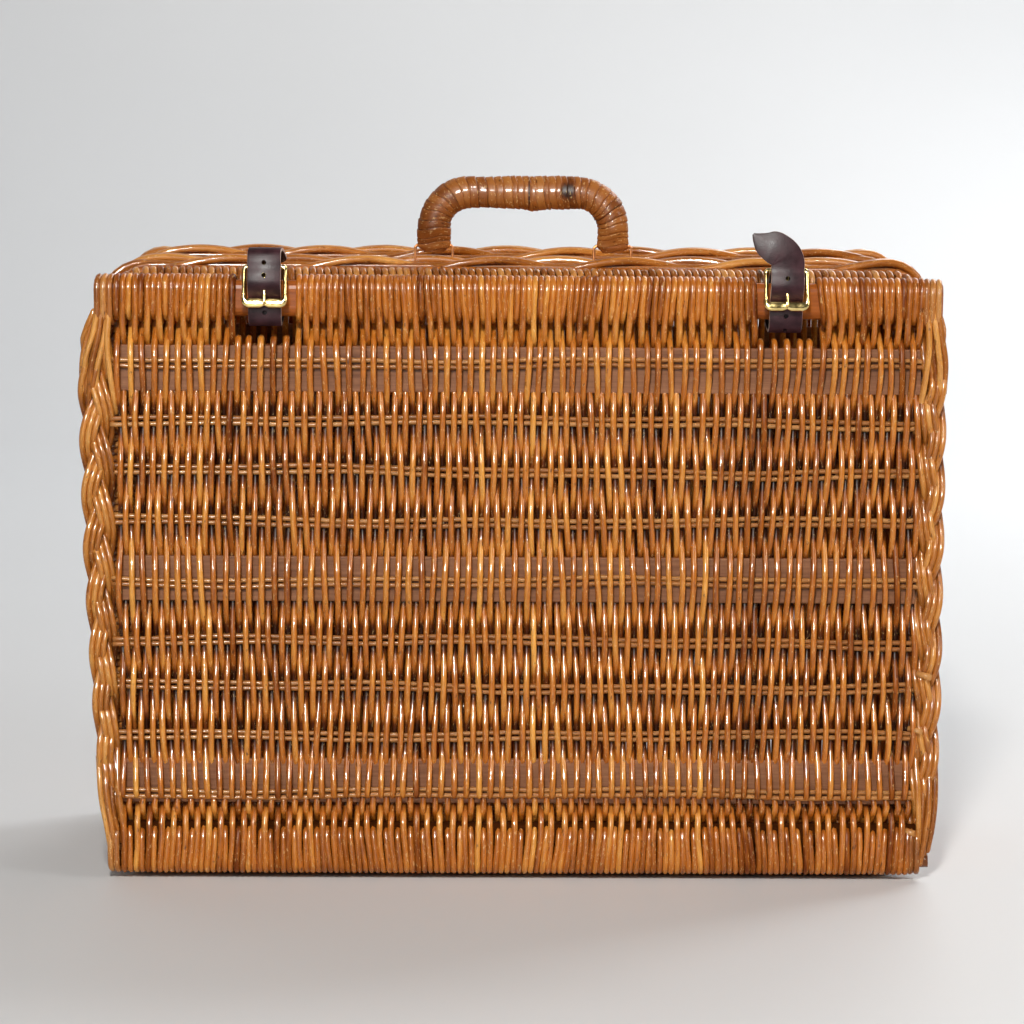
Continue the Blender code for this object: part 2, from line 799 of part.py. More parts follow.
# Straps run from a rivet inside the body, through the slot in the lid and up through the buckle.
for side, x in strap_x.items():
    held = strap_back + strap_dips[side] + strap_front
    path = [at(x, d, lid_top + rise) for d, rise in held]
    across = [across_case] * len(path)
    shares = [1] * len(path)
    for shift, d, rise, tilt, share in strap_tails[side]:
        path.append(at(x + shift, d, lid_top + rise))
        a = math.radians(tilt)
        across.append(Vector((math.cos(a), 0, math.sin(a))))
        shares.append(share)
    half = strap_width / 2
    section = [rounded(strap_thickness / 2, half * s, strap_fillet, 1) for s in shares]
    strap = swept(f"strap_{side}", path, across, section, "leather")
    # The prong's slot follows the prong, and the other holes go straight through.
    start = at(x, prong_start[0], lid_top + prong_start[1])
    end = at(x, prong_rest[0], lid_top + prong_rest[1])
    middle = (start + end) / 2
    stretch = (end - start).normalized() * cutter_reach / 3
    tool = rod_cutter(
        f"prong_cutter_{side}", middle - stretch / 2, end + stretch, prong_slot_radius, across_case
    )
    combine(strap, tool, "DIFFERENCE")
    run = [0]
    for a, b in zip(path, path[1:]):
        run.append(run[-1] + (b - a).length)
    prong_run = run[prong_point]
    for step in extra_holes[side]:
        target = prong_run + step * strap_hole_pitch
        k = max(i for i, r in enumerate(run) if r <= target)
        way = (path[k + 1] - path[k]).normalized()
        place = path[k] + way * (target - run[k])
        normal = across[k].cross(way).normalized() * strap_thickness
        name = f"hole_cutter_{side}_{step + len(extra_holes[side])}"
        tool = rod_cutter(name, place - normal, place + normal, strap_hole_radius, across[k])
        combine(strap, tool, "DIFFERENCE")

    # The rivet holds the strap to the inside of the body's wall.
    wall_outer = case_height - wall_inset
    strap_inner = wall_outer - wall_thickness - strap_thickness - clearance
    rivet_low = strap_inner - clearance - rivet_head_height
    grip = wall_outer + clearance - (strap_inner - clearance)
    top = grip + rivet_head_height + rivet_head_height
    crown = rivet_head_radius * rivet_head_share
    profile = [
        (crown, 0),
        (rivet_head_radius, rivet_head_height / 2),
        (rivet_head_radius, rivet_head_height),
        (rivet_shank_radius, rivet_head_height),
        (rivet_shank_radius, top - rivet_head_height),
        (rivet_head_radius, top - rivet_head_height),
        (rivet_head_radius, top - rivet_head_height / 2),
        (crown, top),
    ]
    turned(f"strap_rivet_{side}", at(x, rivet_depth, rivet_low), Vector((0, 0, 1)), profile, "brass")
    low = at(x, rivet_depth, rivet_low - cutter_reach)
    high = at(x, rivet_depth, case_height + cutter_reach)
    bore = rivet_shank_radius + clearance
    tool = rod_cutter(f"rivet_cutter_{side}", low, high, bore, into_case)
    combine(strap, tool, "DIFFERENCE")
    combine(body_walls, tool, "DIFFERENCE")

    # The leather loop round the bare rail and the heel bar of the buckle.
    stand_off = clearance + chape_thickness / 2
    rail_front = roll_middle - rail_half_depth - stand_off
    rail_back = roll_middle + rail_half_depth + stand_off
    rail_low = lid_rail_bottom - stand_off
    rail_high = lid_rail_top + stand_off
    round_heel = heel_radius + stand_off
    loop = [(rail_front + stand_off, rail_low), (rail_front, rail_low + stand_off)]
    for k in range(fine_steps + 1):
        a = math.pi - (math.pi * 2 / 3) * k / fine_steps
        loop.append((heel_depth + round_heel * math.cos(a), heel_height + round_heel * math.sin(a)))
    loop.append((rail_back - stand_off, rail_high + clearance))
    loop.append((rail_back, rail_high - stand_off))
    loop.append((rail_back, rail_low + stand_off))
    loop.append((rail_back - stand_off, rail_low))
    chape = swept(
        f"chape_{side}",
        [at(x, d, z) for d, z in loop],
        across_case,
        rounded_box(chape_thickness / 2, chape_width / 2),
        "leather",
        True,
        parent=lid_axis,
    )
    low = at(x - chape_slot_width / 2, -cutter_reach, lid_top + chape_slot_rise)
    high = at(x + chape_slot_width / 2, chape_slot_back, heel_height + cutter_reach)
    combine(chape, block_cutter(f"chape_cutter_{side}", low, high), "DIFFERENCE")

    # The buckle: a thin heel bar, two flat sides and a broad front bar, all in one slanting plane.
    heel = at(x, heel_depth, heel_height)
    front = at(x, front_bar_depth, front_bar_height)
    down = (front - heel).normalized()
    facing = across_case.cross(down)
    ends = across_case * buckle_half_width
    inset = across_case * front_bar_half_height
    drop = down * front_bar_half_height
    corners = [
        (heel - ends, heel_radius, heel_radius),
        (heel + ends, heel_radius, heel_radius),
        (heel + ends + drop, side_half_width, side_half_depth),
        (front + ends - drop - drop, side_half_width, side_half_depth),
        (front + ends - drop / 2, front_bar_half_height / 2, front_bar_half_depth),
        (front + ends - inset, front_bar_half_height, front_bar_half_depth),
        (front - ends + inset, front_bar_half_height, front_bar_half_depth),
        (front - ends - drop / 2, front_bar_half_height / 2, front_bar_half_depth),
        (front - ends - drop - drop, side_half_width, side_half_depth),
        (heel - ends + drop, side_half_width, side_half_depth),
    ]
    shapes = [
        [(hu * u, hv * v) for u, v in circle(1, fine_steps)] for _, hu, hv in corners
    ]
    swept(
        f"buckle_frame_{side}",
        [place for place, _, _ in corners],
        facing,
        shapes,
        "brass",
        True,
        parent=buckle_axes[side],
    )

    # The prong turns on the heel bar and lies on the front bar.
    ring_middle = heel_radius + clearance + prong_ring_wall / 2
    ring_turns = [2 * math.pi * k / round_steps for k in range(round_steps)]
    ring = [
        at(x, heel_depth + ring_middle * math.cos(a), heel_height + ring_middle * math.sin(a))
        for a in ring_turns
    ]
    prong = swept(
        f"buckle_prong_{side}",
        ring,
        across_case,
        rounded_box(prong_ring_wall / 2, prong_ring_half_width),
        "brass",
        True,
        parent=buckle_axes[side],
    )
    blade_path = [at(x, d, lid_top + rise) for d, rise in (prong_start, prong_rest, prong_tip)]
    blade_radii = (prong_radius, prong_radius, prong_radius * tip_share)
    blade = swept(
        f"prong_blade_{side}",
        blade_path,
        across_case,
        [circle(r, fine_steps) for r in blade_radii],
    )
    blade.parent = buckle_axes[side]
    blade.matrix_parent_inverse = Matrix.Translation(-joint_places[buckle_axes[side].name])
    combine(prong, blade, "UNION")
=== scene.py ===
"""The looks of the wicker picnic case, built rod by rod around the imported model. Sizes are in metres."""

import math
import random

import bpy
import numpy as np
from mathutils import Matrix, Vector


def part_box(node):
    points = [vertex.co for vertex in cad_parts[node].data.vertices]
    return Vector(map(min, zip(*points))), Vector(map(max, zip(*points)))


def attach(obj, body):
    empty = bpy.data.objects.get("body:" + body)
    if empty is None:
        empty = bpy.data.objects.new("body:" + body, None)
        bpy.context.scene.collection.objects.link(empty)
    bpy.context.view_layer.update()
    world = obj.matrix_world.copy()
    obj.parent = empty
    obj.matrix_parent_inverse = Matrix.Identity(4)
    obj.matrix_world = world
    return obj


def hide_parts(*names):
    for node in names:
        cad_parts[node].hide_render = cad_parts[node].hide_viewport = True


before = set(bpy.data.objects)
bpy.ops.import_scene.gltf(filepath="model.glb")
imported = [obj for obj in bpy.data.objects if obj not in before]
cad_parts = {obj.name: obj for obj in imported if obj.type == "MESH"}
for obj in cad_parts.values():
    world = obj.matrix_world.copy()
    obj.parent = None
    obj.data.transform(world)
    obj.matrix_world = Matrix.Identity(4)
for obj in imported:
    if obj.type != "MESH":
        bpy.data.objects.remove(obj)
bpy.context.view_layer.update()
draws = random.Random(11)

X = np.array((1.0, 0.0, 0.0))
Y = np.array((0.0, 1.0, 0.0))
Z = np.array((0.0, 0.0, 1.0))


def unit(v):
    return v / np.maximum(np.linalg.norm(v, axis=-1, keepdims=True), 1e-12)


def smooth(t):
    t = np.clip(t, 0, 1)
    return t * t * (3 - 2 * t)


def through(points, steps):
    """A smooth curve through points, with a number of steps between each two."""
    p = np.asarray(points, float)
    p = np.vstack((2 * p[0] - p[1], p, 2 * p[-1] - p[-2]))
    out = []
    for i in range(1, len(p) - 2):
        for j in range(steps):
            t = j / steps
            a = 2 * p[i]
            b = (p[i + 1] - p[i - 1]) * t
            c = (2 * p[i - 1] - 5 * p[i] + 4 * p[i + 1] - p[i + 2]) * t * t
            d = (3 * p[i] - p[i - 1] - 3 * p[i + 1] + p[i + 2]) * t**3
            out.append((a + b + c + d) / 2)
    out.append(p[-2])
    return np.array(out)


# ---- Materials


def new_material(name):
    made = bpy.data.materials.new(name)
    made.use_nodes = True
    return made, made.node_tree, made.node_tree.nodes["Principled BSDF"]


def node(tree, kind, settings=None, **inputs):
    """A shader node. Its inputs are constants or other nodes' outputs."""
    made = tree.nodes.new(kind)
    for key, value in (settings or {}).items():
        setattr(made, key, value)
    for key, value in inputs.items():
        socket = made.inputs[int(key[1:])] if key[0] == "_" else made.inputs[key]
        if isinstance(value, bpy.types.NodeSocket):
            tree.links.new(value, socket)
        else:
            socket.default_value = value
    return made


def ramp(tree, factor, stops):
    """A colour ramp from pairs of place and colour."""
    made = node(tree, "ShaderNodeValToRGB", Fac=factor)
    parts = made.color_ramp.elements
    while len(parts) < len(stops):
        parts.new(0.5)
    for part, (place, colour) in zip(parts, stops):
        part.position = place
        part.color = (*colour, 1)
    return made.outputs["Color"]


def maths(tree, kind, a, b, c=0.0, clamp=False):
    made = node(tree, "ShaderNodeMath", {"operation": kind, "use_clamp": clamp}, _0=a, _1=b, _2=c)
    return made.outputs[0]


def mix(tree, factor, under, colour):
    """One colour laid over another by a factor."""
    made = node(tree, "ShaderNodeMix", {"data_type": "RGBA"}, _0=factor, _6=under, _7=(*colour, 1))
    return made.outputs[2]


def stretched(tree, vector, scale):
    made = node(tree, "ShaderNodeMapping", Vector=vector, Scale=scale)
    return made.outputs["Vector"]


def noise(tree, vector, scale, detail=3.0, rough=0.55):
    made = node(tree, "ShaderNodeTexNoise", Vector=vector, Scale=scale, Detail=detail, Roughness=rough)
    return made.outputs["Fac"]


def cane_material(name, dark, middle, light, gloss=0.38, coat=0.55, fleck=0.62, pale=(0.88, 0.60, 0.24)):
    """Varnished cane: each rod has a tint of its own, lowered where shade is painted on it, with fibres, mottling,
    dark and worn flecks.
    """
    made, tree, shader = new_material(name)
    grain = node(tree, "ShaderNodeAttribute", {"attribute_name": "grain"}).outputs["Vector"]
    tint = node(tree, "ShaderNodeAttribute", {"attribute_name": "tint"}).outputs["Fac"]
    mottle = noise(tree, stretched(tree, grain, (55, 260, 260)), 1.0, 4.0)
    fibre = noise(tree, stretched(tree, grain, (60, 2600, 2600)), 1.0, 2.0)
    both = maths(tree, "MULTIPLY_ADD", mottle, 0.62, maths(tree, "MULTIPLY_ADD", tint, 0.44, -0.03))
    shade = maths(tree, "MULTIPLY_ADD", fibre, 0.22, maths(tree, "SUBTRACT", both, 0.11), clamp=True)
    # The deepest stop is the colour of painted shade: the tint falls to it where shade is painted on a rod.
    deep = tuple(0.22 * c for c in dark)
    body = ramp(tree, shade, ((0.0, deep), (0.20, dark), (0.48, middle), (0.86, light)))
    spots = noise(tree, stretched(tree, grain, (420, 900, 900)), 1.0, 2.0)
    spotted = node(tree, "ShaderNodeMapRange", Value=spots, _1=fleck, _2=fleck + 0.05).outputs[0]
    worn = mix(tree, maths(tree, "MULTIPLY", spotted, 0.40), body, pale)
    marks = noise(tree, stretched(tree, grain, (190, 420, 420)), 1.0, 3.0)
    marked = node(tree, "ShaderNodeMapRange", Value=marks, _1=0.64, _2=0.72).outputs[0]
    dark_mark = tuple(0.30 * c for c in dark)
    colour = mix(tree, maths(tree, "MULTIPLY", marked, 0.7), worn, dark_mark)
    tree.links.new(colour, shader.inputs["Base Color"])
    rough = node(tree, "ShaderNodeMapRange", Value=mottle, _1=0.3, _2=0.7, _3=gloss - 0.06, _4=gloss + 0.12)
    tree.links.new(rough.outputs[0], shader.inputs["Roughness"])
    # The varnish coat fades out where the tint is low, mostly where shade is painted, so those parts get no glints.
    varnish = maths(tree, "MULTIPLY", maths(tree, "MULTIPLY_ADD", tint, 5.0, -0.2, clamp=True), coat)
    tree.links.new(varnish, shader.inputs["Coat Weight"])
    shader.inputs["Coat Roughness"].default_value = 0.09
    shader.inputs["Specular IOR Level"].default_value = 0.12
    relief = maths(tree, "MULTIPLY_ADD", fibre, 0.35, maths(tree, "MULTIPLY_ADD", mottle, 0.5, spotted))
    bump = node(tree, "ShaderNodeBump", Height=relief, Strength=0.35, Distance=0.0002)
    tree.links.new(bump.outputs["Normal"], shader.inputs["Normal"])
    return made


def flat_wood(name, dark, light, scale, gloss, shine=0.10):
    """Plain wood with long grain along X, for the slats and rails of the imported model."""
    made, tree, shader = new_material(name)
    place = node(tree, "ShaderNodeTexCoord").outputs["Object"]
    grain = noise(tree, stretched(tree, place, scale), 1.0, 5.0)
    cloud = noise(tree, stretched(tree, place, (9, 30, 30)), 1.0, 2.0)
    mixed = maths(tree, "MULTIPLY_ADD", cloud, 0.4, maths(tree, "MULTIPLY", grain, 0.6))
    tree.links.new(ramp(tree, mixed, ((0.32, dark), (0.66, light))), shader.inputs["Base Color"])
    shader.inputs["Roughness"].default_value = gloss
    shader.inputs["Specular IOR Level"].default_value = shine
    bump = node(tree, "ShaderNodeBump", Height=grain, Strength=0.3, Distance=0.0003)
    tree.links.new(bump.outputs["Normal"], shader.inputs["Normal"])
    return made


def leather_material(name, dark, light, gloss, pores):
    made, tree, shader = new_material(name)
    place = node(tree, "ShaderNodeTexCoord").outputs["Object"]
    cells = node(tree, "ShaderNodeTexVoronoi", Vector=place, Scale=pores).outputs["Distance"]
    cloud = noise(tree, place, 140.0, 4.0)
    tree.links.new(ramp(tree, cloud, ((0.3, dark), (0.72, light))), shader.inputs["Base Color"])
    rough = node(tree, "ShaderNodeMapRange", Value=cloud, _1=0.3, _2=0.7, _3=gloss - 0.07, _4=gloss + 0.1)
    tree.links.new(rough.outputs[0], shader.inputs["Roughness"])
    shader.inputs["Specular IOR Level"].default_value = 0.14
    bump = node(tree, "ShaderNodeBump", Height=cells, Strength=0.25, Distance=0.0002)
    tree.links.new(bump.outputs["Normal"], shader.inputs["Normal"])
    return made


def metal_material(name, dark, light, gloss, scratches):
    made, tree, shader = new_material(name)
    place = node(tree, "ShaderNodeTexCoord").outputs["Object"]
    cloud = noise(tree, place, 260.0, 4.0)
    lines = noise(tree, stretched(tree, place, scratches), 1.0, 3.0)
    tree.links.new(ramp(tree, cloud, ((0.3, dark), (0.62, light))), shader.inputs["Base Color"])
    shader.inputs["Metallic"].default_value = 1.0
    rough = node(tree, "ShaderNodeMapRange", Value=lines, _1=0.3, _2=0.7, _3=gloss - 0.06, _4=gloss + 0.14)
    tree.links.new(rough.outputs[0], shader.inputs["Roughness"])
    bump = node(tree, "ShaderNodeBump", Height=lines, Strength=0.12, Distance=0.0001)
    tree.links.new(bump.outputs["Normal"], shader.inputs["Normal"])
    return made


surfaces = {
    "cane": cane_material("cane", (0.17, 0.034, 0.002), (0.50, 0.145, 0.010), (0.88, 0.42, 0.070)),
    # The rolls' cane: a darker copy of the cane, painted shade that dims the rolls, which the lamps light more than
    # the panel.
    "cane_wrap": cane_material("cane_wrap", (0.17, 0.046, 0.007), (0.40, 0.130, 0.019), (0.66, 0.32, 0.085)),
    "cane_plait": cane_material("cane_plait", (0.17, 0.040, 0.004), (0.48, 0.160, 0.018), (0.84, 0.42, 0.100)),
    # The stakes' cane is a little darker and duller than the rods': partly their own colour, partly painted shade, as
    # they lie in the recesses between the rods.
    "stake": cane_material("stake", (0.16, 0.050, 0.010), (0.40, 0.145, 0.030), (0.62, 0.30, 0.090), 0.46, 0.08),
    "cane_dark": cane_material("cane_dark", (0.09, 0.024, 0.006), (0.20, 0.060, 0.012), (0.32, 0.12, 0.030)),
    "handle_cane": cane_material(
        "handle_cane", (0.14, 0.036, 0.006), (0.30, 0.090, 0.014), (0.46, 0.18, 0.038), 0.42, 0.14
    ),
    "rail": flat_wood("rail", (0.22, 0.045, 0.006), (0.44, 0.12, 0.015), (30, 700, 700), 0.36),
    # The bottom rail and hinge rod lie in shade behind the bottom roll: this near-black copy of the rail wood,
    # without shine, is painted shade.
    "rail_painted_shade": flat_wood("rail_painted_shade", (0.030, 0.008, 0.002), (0.065, 0.018, 0.004), (30, 700, 700), 0.8, 0.0),
    "slat": flat_wood("slat", (0.18, 0.064, 0.025), (0.38, 0.165, 0.075), (26, 600, 600), 0.60),
    "leather": leather_material("leather", (0.020, 0.006, 0.009), (0.056, 0.018, 0.024), 0.42, 1500.0),
    "leather_edge": leather_material("leather_edge", (0.30, 0.20, 0.16), (0.52, 0.40, 0.34), 0.70, 2600.0),
    "brass": metal_material("brass", (0.62, 0.45, 0.16), (0.80, 0.63, 0.27), 0.13, (300, 90, 300)),
    "staple_wire": metal_material("staple_wire", (0.22, 0.08, 0.03), (0.42, 0.18, 0.07), 0.38, (500, 500, 90)),
}


# ---- Rods


class Rods:
    """Collects rods into one mesh. Each has its own tint, lowered where shade is painted on it, and a grain that runs
    along it.
    """

    def __init__(self):
        self.points, self.tints, self.grains = [], [], []
        self.quads, self.caps = [], []
        self.count = 0

    def add(self, path, radius, beside, sides=8, tint=None, closed=False, tips=False, flat=1.0, deep=None):
        """One rod along a path. Beside is a direction across it, and flat its thickness the other way.
        Deep is painted shade: how much darker it is at each point, on its front and on its back."""
        path = np.asarray(path, float)
        radius = np.broadcast_to(np.asarray(radius, float), (len(path),))
        beside = np.broadcast_to(np.asarray(beside, float), path.shape)
        value = draws.uniform(0, 1) if tint is None else tint
        value = np.broadcast_to(np.asarray(value, float), (len(path),))
        on_front, on_back = np.zeros((2, len(path))) if deep is None else deep
        if tips:
            on_front, on_back = np.pad(on_front, 2, "edge"), np.pad(on_back, 2, "edge")
            value = np.concatenate((value[:1], value[:1], value, value[-1:], value[-1:]))
            for end, step in ((0, 1), (-1, -1)):
                out = unit(path[end] - path[end + step]) * radius[end]
                more = np.array((path[end] + 0.85 * out, path[end] + 0.5 * out))
                sizes = np.array((0.35, 0.8)) * radius[end]
                sides_of = np.repeat(beside[end][None], 2, 0)
                if end == 0:
                    path = np.vstack((more, path))
                    radius = np.concatenate((sizes, radius))
                    beside = np.vstack((sides_of, beside))
                else:
                    path = np.vstack((path, more[::-1]))
                    radius = np.concatenate((radius, sizes[::-1]))
                    beside = np.vstack((beside, sides_of))
        n = len(path)
        if closed:
            tangent = unit(np.roll(path, -1, 0) - np.roll(path, 1, 0))
        else:
            tangent = unit(np.vstack((path[1:], path[-1:])) - np.vstack((path[:1], path[:-1])))
        u = unit(beside - tangent * (beside * tangent).sum(1, keepdims=True))
        v = np.cross(tangent, u)
        turn = 2 * np.pi * np.arange(sides) / sides
        across = np.cos(turn)[None, :, None] * u[:, None, :]
        across = across + flat * np.sin(turn)[None, :, None] * v[:, None, :]
        ring = path[:, None, :] + radius[:, None, None] * across
        self.points.append(ring.reshape(-1, 3))
        run = np.concatenate(((0,), np.cumsum(np.linalg.norm(np.diff(path, axis=0), axis=1))))
        grain = np.zeros((n, sides, 3))
        grain[:, :, 0] = run[:, None] + draws.uniform(0, 50)
        grain[:, :, 1] = radius[:, None] * np.cos(turn)
        grain[:, :, 2] = radius[:, None] * np.sin(turn)
        self.grains.append(grain.reshape(-1, 3))
        # Painted shade: on_front darkens the side of each ring that faces the front, on_back the side that faces the
        # back.
        to_front = smooth(0.5 - 0.7 * across[:, :, 1])
        darker = on_front[:, None] * to_front + on_back[:, None] * (1 - to_front)
        self.tints.append((value[:, None] - darker).ravel())
        first = self.count + np.arange(n)[:, None] * sides
        k = np.arange(sides)
        rows = first if closed else first[:-1]
        after = np.roll(first, -1, 0) if closed else first[1:]
        m = (k + 1) % sides
        self.quads.append(np.stack((rows + k, rows + m, after + m, after + k), -1).reshape(-1, 4))
        if not closed:
            self.caps.append((self.count + k)[::-1])
            self.caps.append(self.count + (n - 1) * sides + k)
        self.count += n * sides

    def make(self, name, surface, body, *nodes, slot=None):
        """Makes the piece, which rides on a body and stands for the nodes named."""
        points = np.concatenate(self.points)
        quads = np.concatenate(self.quads)
        starts = [np.arange(len(quads)) * 4]
        loops = [quads.ravel()]
        at = quads.size
        for cap in self.caps:
            starts.append(np.array((at,)))
            loops.append(cap)
            at += len(cap)
        loops = np.concatenate(loops)
        starts = np.concatenate(starts)
        mesh = bpy.data.meshes.new(name)
        mesh.vertices.add(len(points))
        mesh.vertices.foreach_set("co", points.astype(np.float32).ravel())
        mesh.loops.add(len(loops))
        mesh.loops.foreach_set("vertex_index", loops.astype(np.int32))
        mesh.polygons.add(len(starts))
        mesh.polygons.foreach_set("loop_start", starts.astype(np.int32))
        smooth_faces = np.zeros(len(starts), bool)
        smooth_faces[: len(quads)] = True
        mesh.polygons.foreach_set("use_smooth", smooth_faces)
        mesh.update(calc_edges=True)
        mesh.validate()
        for key, kind, field, values in (
            ("tint", "FLOAT", "value", np.concatenate(self.tints)),
            ("grain", "FLOAT_VECTOR", "vector", np.concatenate(self.grains).ravel()),
        ):
            made = mesh.attributes.new(key, kind, "POINT")
            made.data.foreach_set(field, values.astype(np.float32))
        piece = bpy.data.objects.new(name, mesh)
        bpy.context.scene.collection.objects.link(piece)
        mesh.materials.append(surfaces[surface])
        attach(piece, body)
        if nodes:
            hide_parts(*nodes)
        return piece


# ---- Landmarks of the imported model

roll_low, roll_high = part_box("lid_top_wrap_middle")
foot_low, foot_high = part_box("lid_bottom_wrap_left")
weave_low, weave_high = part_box("lid_weave")
lid_middle = (roll_low.y + roll_high.y) / 2
lid_top = roll_high.z
lid_bottom = foot_low.z
weaver_radius = 0.00198
stake_radius = 0.0015
roll_half = 0.0070
roll_round = (roll_high.y - roll_low.y) / 2
weaver_pitch = 0.00366
strap_edges = {
    "left": (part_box("lid_top_wrap_left")[1].x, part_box("lid_top_wrap_middle")[0].x),
    "right": (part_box("lid_top_wrap_middle")[1].x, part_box("lid_top_wrap_right")[0].x),
}
strap_x = {side: (a + b) / 2 for side, (a, b) in strap_edges.items()}
slot_reach = 0.0168


def in_slot(x, reach=slot_reach):
    return any(abs(x - middle) < reach for middle in strap_x.values())


# ---- The lid's woven panel: upright rods pass before and behind pairs of stakes

row_heights = (0.3221, 0.2860, 0.2553, 0.2244, 0.1874, 0.1499, 0.1212, 0.0909, 0.0547)
slat_rows = {0: "lid_slat_top", 4: "lid_slat_middle", 8: "lid_slat_bottom"}


def row_planes(rows, slats, middle, facing, weaver, stake):
    """For each row, where its stakes lie and how far the rods pass in front of and behind them."""
    planes = []
    for i in range(len(rows)):
        if i in slats:
            low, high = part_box(slats[i])
            near, far = (low.y, high.y) if facing < 0 else (high.y, low.y)
            at = near + facing * stake
            planes.append((at, at + facing * (stake + weaver), far - facing * weaver))
        else:
            at = middle + facing * 0.0012
            reach = facing * (stake + weaver)
            planes.append((at, at + reach, at - reach))
    return planes


def wander(x, row):
    """Rows of a hand-made weave aren't quite level."""
    return 0.0011 * math.sin(11 * x + 1.7 * row) + 0.0006 * math.sin(37 * x + 2.9 * row)


def weave_line(x, parity, rows, planes, steps=8, flat=0.05):
    """Depths and heights of one rod from the first row to the last."""
    line = []
    for i in range(len(rows) - 1):
        a = rows[i] + wander(x, i)
        b = rows[i + 1] + wander(x, i + 1)
        ya = planes[i][1 if (parity + i) % 2 == 0 else 2]
        yb = planes[i + 1][1 if (parity + i + 1) % 2 == 0 else 2]
        for j in range(steps):
            s = j / steps
            t = smooth((s - flat) / (1 - 2 * flat))
            line.append((ya + (yb - ya) * t, a + (b - a) * s))
    line.append((yb, b))
    return line


def drift(x, z, seed):
    """A slow sideways wander of the rods, and a small one of each rod alone."""
    slow = 0.0014 * math.sin(23 * x + 9 * z + 0.6) + 0.0012 * math.sin(14 * z - 31 * x + 2.0)
    own = 0.00065 * math.sin(44 * z + seed) + 0.00030 * math.sin(97 * z + 2.3 * seed)
    return slow + own


lid_planes = row_planes(row_heights, slat_rows, lid_middle, -1, weaver_radius, stake_radius)
front = lid_middle - roll_half
back = lid_middle + roll_half


def arc(middle_z, start, turn, steps=8):
    """Half a turn round the roll, as depths and heights."""
    angles = [start + turn * k / steps for k in range(steps + 1)]
    return [(lid_middle + roll_half * math.cos(a), middle_z + roll_half * math.sin(a)) for a in angles]


def top_end(before, slotted, lift):
    """How a rod ends at the top roll, from its free end down to the first row."""
    first = row_heights[0]
    if slotted:
        near = lid_planes[0][1]
        if before:
            return [
                (lid_middle + 0.001, first + 0.0080),
                (lid_middle, first + 0.0120),
                (lid_middle - 0.0026, first + 0.0145),
                (near + 0.0012, first + 0.0140),
                (near + 0.0001, first + 0.0105),
                (near - 0.0001, first + 0.0060),
            ]
        return [(lid_planes[0][2], first + 0.0090), (lid_planes[0][2], first + 0.0045)]
    crown = lid_top - roll_round
    if before:
        return [
            (lid_middle - 0.0010, lid_top - 0.0272 + lift),
            (lid_middle - 0.0036, lid_top - 0.0262 + lift),
            (front + 0.0011, lid_top - 0.0238 + lift),
            (front + 0.0002, lid_top - 0.0200),
            *arc(crown, math.pi, -math.pi),
            (back, lid_top - 0.0180),
            (back, lid_top - 0.0270),
            (lid_middle + 0.0046, lid_top - 0.0330),
            (lid_middle - 0.0030, first + 0.0135),
            (lid_planes[0][1] + 0.0004, first + 0.0075),
        ]
    return [
        (lid_middle + 0.0030, lid_top - 0.0300),
        (back - 0.0006, lid_top - 0.0260),
        (back, lid_top - 0.0180),
        *arc(crown, 0, math.pi),
        (front, lid_top - 0.0180),
        (front, lid_top - 0.0260),
        (front + 0.0006, lid_top - 0.0320),
        (front + 0.0034, first + 0.0145 + lift),
        (lid_middle + 0.0010, first + 0.0100 + lift),
        (lid_planes[0][2] - 0.0004, first + 0.0055),
    ]


def foot_end(before, lift):
    """How a rod ends at the bottom roll, from the last row down to its free end."""
    last = row_heights[-1]
    crown = lid_bottom + roll_round
    near, far = lid_planes[-1][1], lid_planes[-1][2]
    if before:
        return [
            (near + 0.0004, last - 0.0075),
            (lid_middle - 0.0020, last - 0.0130),
            (lid_middle + 0.0046, lid_bottom + 0.0330),
            (back, lid_bottom + 0.0270),
            (back, lid_bottom + 0.0180),
            *arc(crown, 0, -math.pi),
            (front + 0.0002, lid_bottom + 0.0190),
            (front + 0.0011, lid_bottom + 0.0258 + lift),
            (lid_middle - 0.0036, lid_bottom + 0.0284 + lift),
            (lid_middle - 0.0010, lid_bottom + 0.0292 + lift),
        ]
    return [
        (far - 0.0004, last - 0.0055),
        (lid_middle + 0.0010, last - 0.0100 + lift),
        (front + 0.0034, last - 0.0142 + lift),
        (front + 0.0006, last - 0.0185),
        (front, lid_bottom + 0.0260),
        (front, lid_bottom + 0.0180),
        *arc(crown, math.pi, math.pi),
        (back, lid_bottom + 0.0180),
        (back - 0.0006, lid_bottom + 0.0260),
        (lid_middle + 0.0030, lid_bottom + 0.0300),
    ]


def recess_shade(path, middle, rows):
    """Painted shade: how much darker a rod is on its front and on its back, where these lie deep behind the stakes,
    out of the light.
    """
    high = smooth((max(rows) + 0.0120 - path[:, 2]) / 0.0040)
    low = smooth((path[:, 2] - min(rows) + 0.0120) / 0.0040)
    away = path[:, 1] - middle
    return [1.05 * high * low * smooth((way * away + 0.0006) / 0.0024) for way in (1, -1)]


def at_x(x, line, seed, slant=0.0):
    """Turns depths and heights into points, with the rods' wander."""
    points = []
    for y, z in line:
        fade = smooth(np.minimum(lid_top - z, z - lid_bottom) / 0.030)
        points.append((x + drift(x, z, seed) * fade + slant * (1 - fade), y, z))
    return np.array(points)


